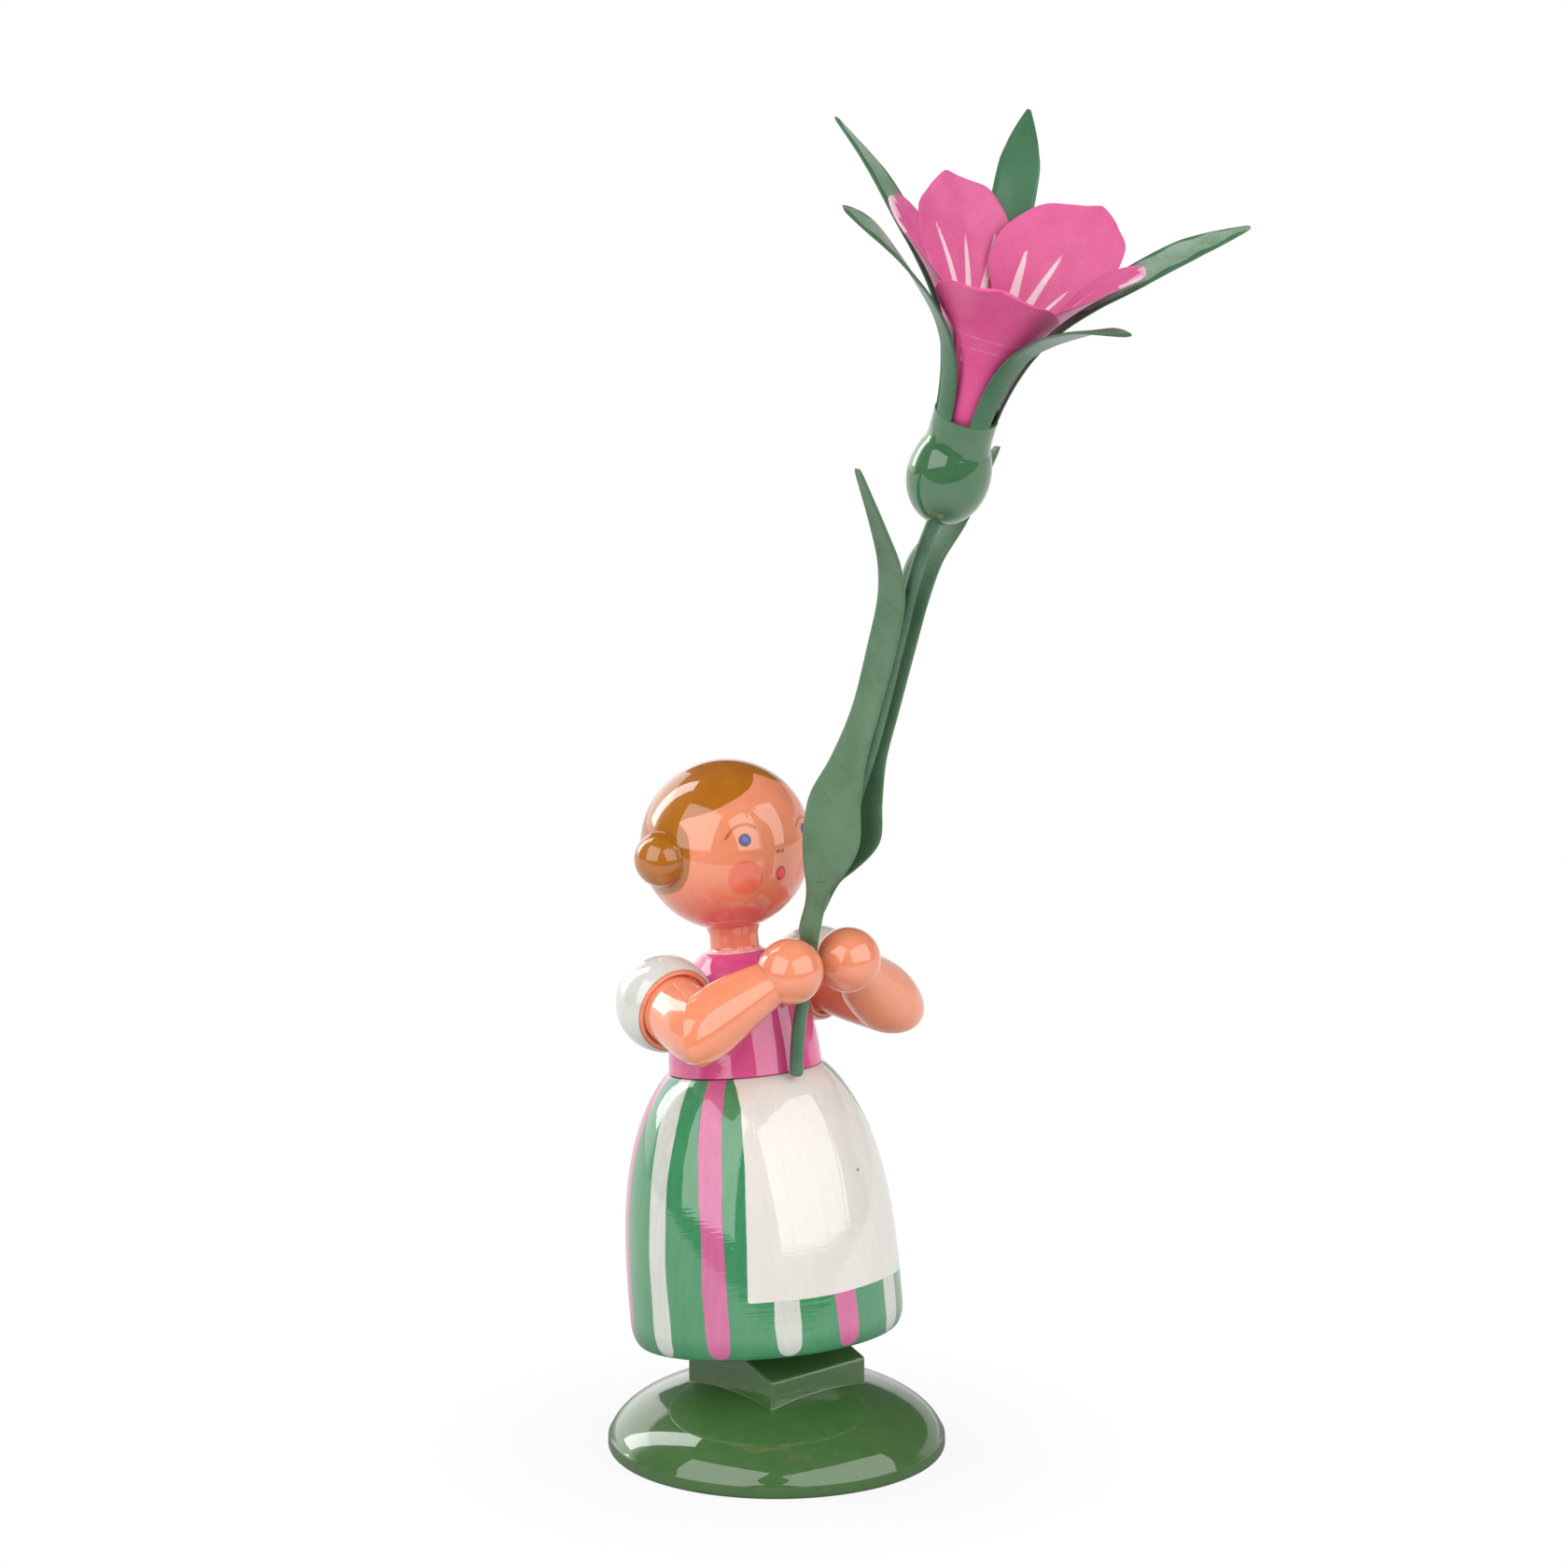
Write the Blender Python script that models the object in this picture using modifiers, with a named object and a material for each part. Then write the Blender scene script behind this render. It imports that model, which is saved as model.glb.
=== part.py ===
"""A wooden figurine: a girl in a striped skirt and apron who holds up one tall, open flower.

Everything is turned or cut from wood, glued and lacquered, so nothing on it moves.
Units are metres, +Z is up. The origin is at the middle of the base's underside. The girl
faces -Y and her left is +X. Her body stands on an axis of its own that leans back a little,
and distances called "up her axis" are measured along it from the height of the floor.
"""
import math

import bmesh
import bpy
import numpy as np
from mathutils import Matrix, Vector

MM = 0.001

# Fits between pieces
GLUE_GAP = 0.3 * MM
PEG_GAP = 0.3 * MM
MERGE = 0.005 * MM

# Base disc: a low dome on a thin edge
BASE_RADIUS = 15.3 * MM
BASE_EDGE_HEIGHT = 0.5 * MM
BASE_EDGE_ROUNDING = 0.35 * MM
BASE_DOME_HEIGHT = 6.3 * MM

# Block on the base, with its top sawn to two slopes
BLOCK_SIDE = 11.4 * MM
BLOCK_HEIGHT = 4.6 * MM
BLOCK_FRONT_HEIGHT = 2.3 * MM
BLOCK_SLOPE = math.radians(21)
BLOCK_EDGE = 0.2 * MM

# Flat that is turned on the dome for the block, a little past the block's corners
SEAT_MARGIN = 0.14 * MM
SEAT_RADIUS = BLOCK_SIDE / math.sqrt(2) + SEAT_MARGIN
SEAT_HEIGHT = BASE_EDGE_HEIGHT + BASE_DOME_HEIGHT * math.sqrt(1 - (SEAT_RADIUS / BASE_RADIUS) ** 2)

# Hidden peg that holds disc, block and skirt together
PEG_RADIUS = 2.0 * MM
PEG_DEPTH_IN_BASE = 3.2 * MM
PEG_DEPTH_IN_SKIRT = 9.0 * MM

# Her body axis
LEAN = math.radians(7.3)
AXIS_OFFSET = -0.25 * MM

# Skirt
SKIRT_BOTTOM = SEAT_HEIGHT + BLOCK_HEIGHT
SKIRT_HEIGHT = 24.4 * MM
WAIST_HEIGHT = SKIRT_BOTTOM + SKIRT_HEIGHT
WAIST_RADIUS = 6.95 * MM
HEM_RADIUS = 12.35 * MM
HEM_ROUNDING = 0.95 * MM
HEM_HEIGHT = 2.2 * MM
BELL_FULLNESS = 3
BELL_SHOULDER = 0.81
BELL_SPACING = 1.6

# Bodice
TENON_RADIUS = 3.0 * MM
TENON_LENGTH = 4.0 * MM
CHEST_RISE = 3.35 * MM
SHOULDER_RISE = 7.85 * MM
BODICE_HEIGHT = 10.65 * MM
CHEST_RADIUS = 6.6 * MM
CHEST_HEIGHT = WAIST_HEIGHT + CHEST_RISE
SHOULDER_RADIUS = 5.55 * MM
SHOULDER_HEIGHT = WAIST_HEIGHT + SHOULDER_RISE
COLLAR_WALL = 0.4 * MM
COLLAR_HEIGHT = WAIST_HEIGHT + BODICE_HEIGHT

# Neck and head
NECK_RADIUS = 2.2 * MM
NECK_LENGTH = 1.75 * MM
NECK_DEPTH_IN_BODICE = 3.6 * MM
NECK_DEPTH_IN_HEAD = 3.4 * MM
HEAD_RADIUS = 7.7 * MM
HEAD_HEIGHT = COLLAR_HEIGHT + NECK_LENGTH + HEAD_RADIUS
BUN_RADIUS = 2.42 * MM
BUN_SINK = 2.7 * MM
BUN_TURN = math.radians(91.5)
BUN_DROP = math.radians(6.4)

# Arms, given for her left side and mirrored to her right. The sleeve sinks into the shoulder, the
# elbow is placed from the sleeve's middle, and the hand from the elbow, forwards and up
SLEEVE_RADIUS = 4.37 * MM
SLEEVE_SINK = 0.82 * MM
SLEEVE_FORWARD = 0.4 * MM
SLEEVE_DROP = 0.6 * MM
SLEEVE_MOUTH = 1.9 * MM
ELBOW_REACH = Vector((2.0, -7.68, -2.2)) * MM
ELBOW_RADIUS = 3.25 * MM
ARM_RADIUS = 3.55 * MM
ARM_END_RADIUS = 3.45 * MM
ARM_SWELL = 2.1 * MM
WRIST_RADIUS = 2.0 * MM
HAND_RADIUS = 2.93 * MM
HAND_FORWARD = 3.03 * MM
HAND_RISE = 4.63 * MM
SLEEVE_ASIDE = SHOULDER_RADIUS + SLEEVE_RADIUS - SLEEVE_SINK
SLEEVE_CENTRE = Vector((SLEEVE_ASIDE, -SLEEVE_FORWARD, SHOULDER_HEIGHT - SLEEVE_DROP))
ELBOW = SLEEVE_CENTRE + ELBOW_REACH

# Flower stem. Its foot stands in front of the waist, and its route is given from the grip, the
# point midway between the hands
STEM_RADIUS = 0.62 * MM
STEM_GROOVE_IN_HAND = 0.385 * MM
HAND_ASIDE = HAND_RADIUS + STEM_RADIUS + PEG_GAP - STEM_GROOVE_IN_HAND
HAND_CENTRE = Vector((HAND_ASIDE, ELBOW.y - HAND_FORWARD, ELBOW.z + HAND_RISE))
STEM_FOOT_ASIDE = -1.15 * MM
STEM_FOOT_STANDOFF = 0.2 * MM
STEM_ROUTE = (
    (-0.75, 1.9, -6.1),
    (-0.15, 1.4, -1.1),
    (0.0, 0.6, 3.9),
    (0.0, -2.5, 12.4),
    (0.0, -6.0, 20.9),
    (0.0, -9.4, 29.9),
    (0.0, -12.3, 37.2),
)
STEM_DEPTH_IN_BULB = 1.2 * MM

# Two long leaves, as stations above the top of the hands: height, y of the middle from the grip,
# width, and distance from the stem's side
LEAF_THICKNESS = 0.35 * MM
LEAF_STATIONS = (
    (-0.2, 0.9, 1.7, 0.0),
    (3.0, -0.2, 2.7, 0.0),
    (6.1, -1.9, 5.4, 0.0),
    (9.1, -2.9, 7.25, 0.0),
    (12.5, -3.35, 6.6, 0.0),
    (16.4, -5.0, 4.45, 0.0),
    (21.0, -7.1, 3.5, 0.0),
    (26.8, -9.15, 3.6, 0.0),
    (31.0, -10.5, 3.4, 0.25),
    (34.1, -11.4, 2.85, 1.35),
    (37.5, -12.55, 1.95, 3.7),
    (43.0, -13.1, 0.6, 6.8),
)

# Flower, from the grip: its axis leans forward, and starts at the middle of the collar's rim
FLOWER_FOOT = Vector((-0.25, -17.9, 49.4)) * MM
FLOWER_TILT = math.radians(23.5)
FLOWER_SIDEWAYS = math.radians(-2.5)
CALYX_RADIUS = 2.75 * MM
CALYX_WALL = 0.4 * MM
CALYX_DEPTH = 2.6 * MM
CALYX_ABOVE_BULB = 0.4 * MM
BULB_RADIUS = 3.55 * MM
BULB_HALF_LENGTH = 4.4 * MM
BULB_CENTRE = BULB_HALF_LENGTH + CALYX_ABOVE_BULB

# Petals and sepals: a blade's middle line as (distance outside its foot, height above the collar's
# rim), and its half widths by share of its length
PETAL_THICKNESS = 0.3 * MM
PETAL_FLATNESS = 1.5
PETAL_STANDOFF = 0.5 * MM
PETAL_FOOT_CLEARANCE = 0.8 * MM
PETAL_FOOT = (CALYX_RADIUS - CALYX_WALL - PETAL_STANDOFF, PETAL_FOOT_CLEARANCE - CALYX_DEPTH)
PETAL_LINE = ((0.1, 1.5), (0.55, 4.5), (1.35, 7.4), (2.55, 10.0), (4.05, 12.4), (6.45, 15.4), (9.45, 18.4))
PETAL_HALF_WIDTHS = ((0, 0.8), (0.3, 0.95), (0.45, 1.6), (0.58, 3.1), (0.7, 4.8), (0.8, 5.4), (0.9, 4.6),
                     (0.96, 2.5), (1, 0.3))
SEPAL_THICKNESS = 0.3 * MM
SEPAL_FLATNESS = 1.0
SEPAL_FOOT = (CALYX_RADIUS - CALYX_WALL / 2, GLUE_GAP)
SEPAL_LINE = ((0.2, 2.5), (0.65, 4.8), (1.55, 7.3), (3.15, 9.9), (5.45, 12.4), (8.35, 15.0), (12.05, 17.9),
              (16.85, 20.6))
SEPAL_HALF_WIDTHS = ((0, 0.75), (0.4, 0.75), (0.55, 1.1), (0.7, 1.9), (0.82, 1.7), (0.94, 0.7), (1, 0.15))

# How each blade was set by hand: its turn round the flower and its twist, in degrees, and its tip's lift
PETALS = ((9.5, 10, 0.0), (82, 10, -0.4), (150, 12, -0.9), (221, -1, -1.8), (294, 0, 0.8))
SEPALS = ((48, 0, -0.2), (105, 0, -0.8), (176, 0, 0.5), (255, 0, -1.7), (332, 0, 0.4))

# Colours of the lacquer, as linear red, green, blue, with the roughness of each finish
GREEN_BASE = (0.055, 0.16, 0.045)
GREEN_SKIRT = (0.07, 0.3, 0.14)
PINK = (0.68, 0.08, 0.3)
PETAL_PINK = (0.75, 0.14, 0.36)
FLESH = (0.86, 0.3, 0.17)
HAIR = (0.48, 0.16, 0.015)
WHITE = (0.77, 0.75, 0.7)
LEAF_GREEN = (0.12, 0.3, 0.18)
BARE_WOOD = (0.6, 0.42, 0.24)
LACQUER = 0.15
MATT = 0.6


def clear_scene():
    """Removes what a new file starts with."""
    for item in list(bpy.data.objects):
        bpy.data.objects.remove(item, do_unlink=True)


def collection(name):
    """A new collection in the scene."""
    group = bpy.data.collections.new(name)
    bpy.context.scene.collection.children.link(group)
    return group


def finish(colour, roughness):
    """A function that makes one piece's own material of this finish."""
    def make(name):
        material = bpy.data.materials.new(name)
        material.use_nodes = True
        shader = material.node_tree.nodes["Principled BSDF"]
        shader.inputs["Base Color"].default_value = (*colour, 1.0)
        shader.inputs["Roughness"].default_value = roughness
        shader.inputs["Metallic"].default_value = 0.0
        return material
    return make


def add_piece(name, mesh, paint, place=None):
    """Puts a mesh into the figurine as a named piece, smooth but for its sharp edges."""
    mesh.shade_smooth()
    mesh.set_sharp_from_angle(angle=math.radians(35))
    piece = bpy.data.objects.new(name, mesh)
    piece.matrix_world = place or Matrix.Identity(4)
    mesh.materials.append(paint(name))
    FIGURINE.objects.link(piece)
    return piece


def add_cutter(name, mesh, place=None):
    """A shape that only cuts others, kept out of sight."""
    cutter = bpy.data.objects.new(name, mesh)
    cutter.matrix_world = place or Matrix.Identity(4)
    cutter.hide_render = True
    cutter.display_type = "WIRE"
    CUTTERS.objects.link(cutter)
    return cutter


def cut(piece, cutter):
    """Takes the cutter's shape out of the piece."""
    step = piece.modifiers.new("cut " + cutter.name, "BOOLEAN")
    step.operation = "DIFFERENCE"
    step.solver = "EXACT"
    step.object = cutter


def smooth_line(points, count):
    """A smooth curve through the points, as count rows: Catmull-Rom on even steps of chord."""
    points = np.array(points, dtype=float)
    ends = np.vstack([2 * points[0] - points[1], points, 2 * points[-1] - points[-2]])
    chord = np.sqrt(np.linalg.norm(np.diff(ends, axis=0), axis=1))
    knots = np.concatenate([[0.0], np.cumsum(chord)])
    wanted = np.linspace(knots[1], knots[-2], count)
    part = np.clip(np.searchsorted(knots, wanted, side="right") - 1, 1, len(points) - 1)
    p0, p1, p2, p3 = (ends[part + k] for k in (-1, 0, 1, 2))
    t0, t1, t2, t3 = (knots[part + k] for k in (-1, 0, 1, 2))

    def mix(a, b, start, stop):
        share = ((wanted - start) / (stop - start))[:, None]
        return a + (b - a) * share

    a1, a2, a3 = mix(p0, p1, t0, t1), mix(p1, p2, t1, t2), mix(p2, p3, t2, t3)
    b1, b2 = mix(a1, a2, t0, t2), mix(a2, a3, t1, t3)
    return mix(b1, b2, t1, t2)


def arc(centre, radii, start, stop, count):
    """Points (radius, height) on an ellipse, from one angle to another, in degrees."""
    angles = np.radians(np.linspace(start, stop, count))
    return [(centre[0] + radii[0] * math.cos(t), centre[1] + radii[1] * math.sin(t)) for t in angles]


def turned(name, profile, steps):
    """A mesh turned round Z from a profile (radius, height) that runs down its outer side."""
    mesh = bpy.data.meshes.new(name)
    corners = [(max(radius, 0.0), 0.0, height) for radius, height in profile]
    mesh.from_pydata(corners, [(k, k + 1) for k in range(len(corners) - 1)], [])
    blank = bpy.data.objects.new(name, mesh)
    bpy.context.scene.collection.objects.link(blank)
    screw = blank.modifiers.new("turn", "SCREW")
    screw.steps = steps
    screw.render_steps = steps
    screw.use_merge_vertices = True
    screw.merge_threshold = MERGE
    done = as_mesh(blank)
    done.name = name
    return done


def as_mesh(blank):
    """The finished mesh of a working object, which is then removed."""
    bpy.context.view_layer.update()
    view = bpy.context.evaluated_depsgraph_get()
    done = bpy.data.meshes.new_from_object(blank.evaluated_get(view))
    bpy.data.objects.remove(blank, do_unlink=True)
    shape = bmesh.new()
    shape.from_mesh(done)
    bmesh.ops.remove_doubles(shape, verts=shape.verts, dist=MERGE)
    shape.to_mesh(done)
    shape.free()
    return done


def ball(name, radius, around=24, rings=12):
    """A sphere about its own origin."""
    mesh = bpy.data.meshes.new(name)
    shape = bmesh.new()
    bmesh.ops.create_uvsphere(shape, u_segments=around, v_segments=rings, radius=radius)
    shape.to_mesh(mesh)
    shape.free()
    return mesh


def rod(name, radius, bottom, top, around=20):
    """A round rod on Z between two heights."""
    mesh = bpy.data.meshes.new(name)
    shape = bmesh.new()
    middle = Matrix.Translation((0, 0, (bottom + top) / 2))
    sizes = {"radius1": radius, "radius2": radius, "depth": top - bottom}
    bmesh.ops.create_cone(shape, cap_ends=True, segments=around, matrix=middle, **sizes)
    shape.to_mesh(mesh)
    shape.free()
    return mesh


def keep_below(mesh, point, normal):
    """Saws a mesh flat along a plane and keeps the side that the normal points away from."""
    shape = bmesh.new()
    shape.from_mesh(mesh)
    everything = shape.verts[:] + shape.edges[:] + shape.faces[:]
    sawn = bmesh.ops.bisect_plane(
        shape, geom=everything, dist=MERGE / 10, plane_co=point, plane_no=normal, clear_outer=True
    )
    edges = [item for item in sawn["geom_cut"] if isinstance(item, bmesh.types.BMEdge)]
    bmesh.ops.edgeloop_fill(shape, edges=edges)
    bmesh.ops.recalc_face_normals(shape, faces=shape.faces[:])
    shape.to_mesh(mesh)
    shape.free()


def blade(name, surface, rows, columns, thickness):
    """A thin sheet: a grid laid on a surface of two values, 0 to 1 along and -1 to 1 across."""
    mesh = bpy.data.meshes.new(name)
    shape = bmesh.new()
    bmesh.ops.create_grid(shape, x_segments=rows, y_segments=columns, size=1.0)
    for corner in shape.verts:
        along = (corner.co.x + 1) / 2
        corner.co = surface(along, corner.co.y)
    shape.to_mesh(mesh)
    shape.free()
    blank = bpy.data.objects.new(name, mesh)
    bpy.context.scene.collection.objects.link(blank)
    wall = blank.modifiers.new("wall", "SOLIDIFY")
    wall.thickness = thickness
    wall.offset = 0.0
    done = as_mesh(blank)
    shape = bmesh.new()
    shape.from_mesh(done)
    bmesh.ops.recalc_face_normals(shape, faces=shape.faces[:])
    shape.to_mesh(done)
    shape.free()
    return done


def frame_along(origin, direction):
    """A placement whose Z runs along a direction."""
    turn = Vector(direction).to_track_quat("Z", "Y")
    return Matrix.Translation(origin) @ turn.to_matrix().to_4x4()


def body_frame():
    """Her body's placement: Z is her leaning axis and -Y is where she faces."""
    return Matrix.Translation((0, AXIS_OFFSET, 0)) @ Matrix.Rotation(-LEAN, 4, "X")


def grip():
    """The point midway between her hands."""
    return body_frame() @ Vector((0, HAND_CENTRE.y, HAND_CENTRE.z))


def flower_frame():
    """The flower's placement: Z is its own axis, from the rim of the bulb's collar."""
    tilt = Matrix.Rotation(FLOWER_TILT, 4, "X") @ Matrix.Rotation(FLOWER_SIDEWAYS, 4, "Y")
    return Matrix.Translation(grip() + FLOWER_FOOT) @ tilt


def on_side(point, side):
    """A point of her left side in her body's placement, or its mirror image for her right."""
    return body_frame() @ Vector((point.x * side, point.y, point.z))


def make_base_disc():
    """The domed disc, with a flat seat for the block and a blind hole for the peg."""
    hole = PEG_RADIUS + PEG_GAP
    floor = SEAT_HEIGHT - PEG_DEPTH_IN_BASE
    start = math.degrees(math.acos(SEAT_RADIUS / BASE_RADIUS))
    profile = [(0, floor), (hole, floor), (hole, SEAT_HEIGHT)]
    profile += arc((0, BASE_EDGE_HEIGHT), (BASE_RADIUS, BASE_DOME_HEIGHT), start, 0, 8)
    corner = (BASE_RADIUS - BASE_EDGE_ROUNDING, BASE_EDGE_HEIGHT)
    profile += arc(corner, (BASE_EDGE_ROUNDING, BASE_EDGE_HEIGHT), -30, -90, 3)
    profile.append((0, 0))
    add_piece("base_disc", turned("base_disc", profile, 40), finish(GREEN_BASE, LACQUER))


def make_base_block():
    """The square block: its front top edge is low, and its top meets the underside of the skirt."""
    bottom = SEAT_HEIGHT + GLUE_GAP
    mesh = bpy.data.meshes.new("base_block")
    shape = bmesh.new()
    bmesh.ops.create_cube(shape, size=1.0)
    tall = SKIRT_BOTTOM * 2
    bmesh.ops.scale(shape, vec=(BLOCK_SIDE, BLOCK_SIDE, tall), verts=shape.verts)
    bmesh.ops.translate(shape, vec=(0, 0, bottom + tall / 2), verts=shape.verts)
    shape.to_mesh(mesh)
    shape.free()
    underside = body_frame() @ Vector((0, 0, SKIRT_BOTTOM - GLUE_GAP))
    keep_below(mesh, underside, body_frame().to_3x3() @ Vector((0, 0, 1)))
    front_edge = (0, -BLOCK_SIDE / 2, bottom + BLOCK_FRONT_HEIGHT)
    keep_below(mesh, front_edge, (0, -math.sin(BLOCK_SLOPE), math.cos(BLOCK_SLOPE)))
    block = add_piece("base_block", mesh, finish(GREEN_BASE, LACQUER))
    edges = block.modifiers.new("worn edges", "BEVEL")
    edges.width = BLOCK_EDGE
    edges.segments = 1
    cut(block, PEG_HOLE)


def peg_ends():
    """Lowest and highest point of the hidden peg."""
    bottom = SEAT_HEIGHT - PEG_DEPTH_IN_BASE + PEG_GAP
    top = (body_frame() @ Vector((0, 0, SKIRT_BOTTOM))).z + PEG_DEPTH_IN_SKIRT
    return bottom, top


def make_base_peg():
    """The plain round peg, upright through the block."""
    bottom, top = peg_ends()
    add_piece("base_peg", rod("base_peg", PEG_RADIUS, bottom, top), finish(BARE_WOOD, MATT))


def bell_line(count):
    """The bell's outline as (radius, height), from the waist down to the top of the hem.

    With share the part of the way down, the radius grows from the waist's to the hem's by
    (1 - (1 - share)^fullness)^shoulder, which is steep at the waist and straight near the hem.
    """
    rows = []
    for step in range(count):
        share = (step / (count - 1)) ** BELL_SPACING
        swell = (1 - (1 - share) ** BELL_FULLNESS) ** BELL_SHOULDER
        radius = WAIST_RADIUS + (HEM_RADIUS - WAIST_RADIUS) * swell
        rows.append((radius, WAIST_HEIGHT - (SKIRT_HEIGHT - HEM_HEIGHT) * share))
    return rows


def make_skirt():
    """The bell skirt, with a socket for the bodice and a blind hole for the peg."""
    socket = TENON_RADIUS + PEG_GAP
    floor = WAIST_HEIGHT - TENON_LENGTH - PEG_GAP
    profile = [(0, floor), (socket, floor), (socket, WAIST_HEIGHT)]
    profile += bell_line(13)
    corner = (HEM_RADIUS - HEM_ROUNDING, SKIRT_BOTTOM + HEM_HEIGHT)
    profile += arc(corner, (HEM_ROUNDING, HEM_HEIGHT), -30, -90, 3)
    profile.append((0, SKIRT_BOTTOM))
    skirt = add_piece("skirt", turned("skirt", profile, 36), finish(GREEN_SKIRT, LACQUER), body_frame())
    cut(skirt, PEG_HOLE)


def make_bodice():
    """The bodice and shoulders, hollowed a little at each side where a sleeve sits."""
    foot = WAIST_HEIGHT + GLUE_GAP
    hole = NECK_RADIUS + PEG_GAP
    profile = [(0, COLLAR_HEIGHT - NECK_DEPTH_IN_BODICE), (hole, COLLAR_HEIGHT - NECK_DEPTH_IN_BODICE)]
    profile.append((hole, COLLAR_HEIGHT))
    outside = [
        (hole + COLLAR_WALL, COLLAR_HEIGHT),
        (SHOULDER_RADIUS, SHOULDER_HEIGHT),
        (CHEST_RADIUS, CHEST_HEIGHT),
        (WAIST_RADIUS, foot),
    ]
    profile += [tuple(point) for point in smooth_line(outside, 10)]
    tenon_end = WAIST_HEIGHT - TENON_LENGTH
    profile += [(TENON_RADIUS, foot), (TENON_RADIUS, tenon_end), (0, tenon_end)]
    bodice = add_piece("bodice", turned("bodice", profile, 32), finish(PINK, LACQUER), body_frame())
    for side, word in SIDES:
        seat = ball("sleeve_seat_" + word, SLEEVE_RADIUS + GLUE_GAP)
        place = Matrix.Translation(on_side(SLEEVE_CENTRE, side))
        cut(bodice, add_cutter("sleeve_seat_" + word, seat, place))


def make_neck():
    """The neck, a peg that holds the head on the bodice."""
    bottom = COLLAR_HEIGHT - NECK_DEPTH_IN_BODICE + PEG_GAP
    top = HEAD_HEIGHT - HEAD_RADIUS + NECK_DEPTH_IN_HEAD
    add_piece("neck", rod("neck", NECK_RADIUS, bottom, top, 24), finish(FLESH, LACQUER), body_frame())


def make_head():
    """The head, a ball with a blind hole for the neck."""
    place = body_frame() @ Matrix.Translation((0, 0, HEAD_HEIGHT))
    head = add_piece("head", ball("head", HEAD_RADIUS, 36, 18), finish(FLESH, LACQUER), place)
    top = HEAD_HEIGHT - HEAD_RADIUS + NECK_DEPTH_IN_HEAD + PEG_GAP
    hole = rod("neck_hole", NECK_RADIUS + PEG_GAP, HEAD_HEIGHT - HEAD_RADIUS * 2, top, 24)
    cut(head, add_cutter("neck_hole", hole, body_frame()))


def make_hair_buns():
    """Two small balls glued on at the ears, hollowed to sit on the head."""
    place = body_frame() @ Matrix.Translation((0, 0, HEAD_HEIGHT))
    hollow = add_cutter("head_hollow", ball("head_hollow", HEAD_RADIUS + GLUE_GAP, 36, 18), place)
    reach = HEAD_RADIUS + BUN_RADIUS - BUN_SINK
    for side, word in SIDES:
        level = math.cos(BUN_DROP) * reach
        sideways = math.sin(BUN_TURN) * level
        forward = math.cos(BUN_TURN) * level
        offset = Vector((side * sideways, -forward, -math.sin(BUN_DROP) * reach))
        name = "hair_bun_" + word
        seat = place @ Matrix.Translation(offset)
        bun = add_piece(name, ball(name, BUN_RADIUS, 20, 10), finish(HAIR, LACQUER), seat)
        cut(bun, hollow)


def make_arm(side, word):
    """One arm: sleeve, upper arm and forearm mitred at the elbow, and a ball for the hand."""
    sleeve_centre = on_side(SLEEVE_CENTRE, side)
    elbow = on_side(ELBOW, side)
    hand_centre = on_side(HAND_CENTRE, side)
    upper = (elbow - sleeve_centre).normalized()
    lower = (hand_centre - elbow).normalized()

    mesh = ball("sleeve_" + word, SLEEVE_RADIUS)
    mesh.transform(frame_along(sleeve_centre, upper))
    keep_below(mesh, sleeve_centre + upper * SLEEVE_MOUTH, upper)
    add_piece("sleeve_" + word, mesh, finish(WHITE, LACQUER))

    start = sleeve_centre + upper * (SLEEVE_MOUTH + GLUE_GAP)
    length = (elbow - start).length
    mitre = (upper + lower).normalized()
    profile = arc((0, length), (ELBOW_RADIUS, ELBOW_RADIUS), 90, 0, 6)
    profile += [(ARM_RADIUS, ARM_SWELL), (ARM_END_RADIUS, 0), (0, 0)]
    mesh = turned("upper_arm_" + word, profile, 20)
    mesh.transform(frame_along(start, upper))
    keep_below(mesh, elbow - mitre * GLUE_GAP / 2, mitre)
    add_piece("upper_arm_" + word, mesh, finish(FLESH, LACQUER))

    reach = (hand_centre - elbow).length
    profile = [(0, reach), (WRIST_RADIUS, reach), (WRIST_RADIUS, reach - HAND_RADIUS)]
    profile += arc((0, 0), (ELBOW_RADIUS, ELBOW_RADIUS), 10, -90, 7)
    mesh = turned("forearm_" + word, profile, 20)
    mesh.transform(frame_along(elbow, lower))
    keep_below(mesh, elbow + mitre * GLUE_GAP / 2, -mitre)
    forearm = add_piece("forearm_" + word, mesh, finish(FLESH, LACQUER))
    place = frame_along(hand_centre, lower)
    cup = ball("hand_cup_" + word, HAND_RADIUS + GLUE_GAP, 20, 10)
    cut(forearm, add_cutter("hand_cup_" + word, cup, place))

    hand = add_piece("hand_" + word, ball("hand_" + word, HAND_RADIUS, 20, 10), finish(FLESH, LACQUER), place)
    cut(hand, STEM_GROOVE)


def stem_points(depth):
    """The stem's middle line, from the waist up into the bulb, to a depth in it."""
    off_waist = WAIST_RADIUS + STEM_RADIUS + GLUE_GAP + STEM_FOOT_STANDOFF
    foot = body_frame() @ Vector((STEM_FOOT_ASIDE, -off_waist, WAIST_HEIGHT - STEM_FOOT_STANDOFF))
    end = flower_frame() @ Vector((0, 0, -BULB_CENTRE - BULB_HALF_LENGTH + depth))
    route = [tuple(grip() + Vector(point) * MM) for point in STEM_ROUTE]
    return smooth_line([tuple(foot), *route, tuple(end)], 18)


def tube(name, points, radius):
    """A mesh of a round tube along points, with both ends closed."""
    line = bpy.data.curves.new(name, "CURVE")
    line.dimensions = "3D"
    line.bevel_depth = radius
    line.bevel_resolution = 2
    line.use_fill_caps = True
    spline = line.splines.new("POLY")
    spline.points.add(len(points) - 1)
    for corner, point in zip(spline.points, points):
        corner.co = (*point, 1.0)
    blank = bpy.data.objects.new(name, line)
    bpy.context.scene.collection.objects.link(blank)
    return as_mesh(blank)


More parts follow.
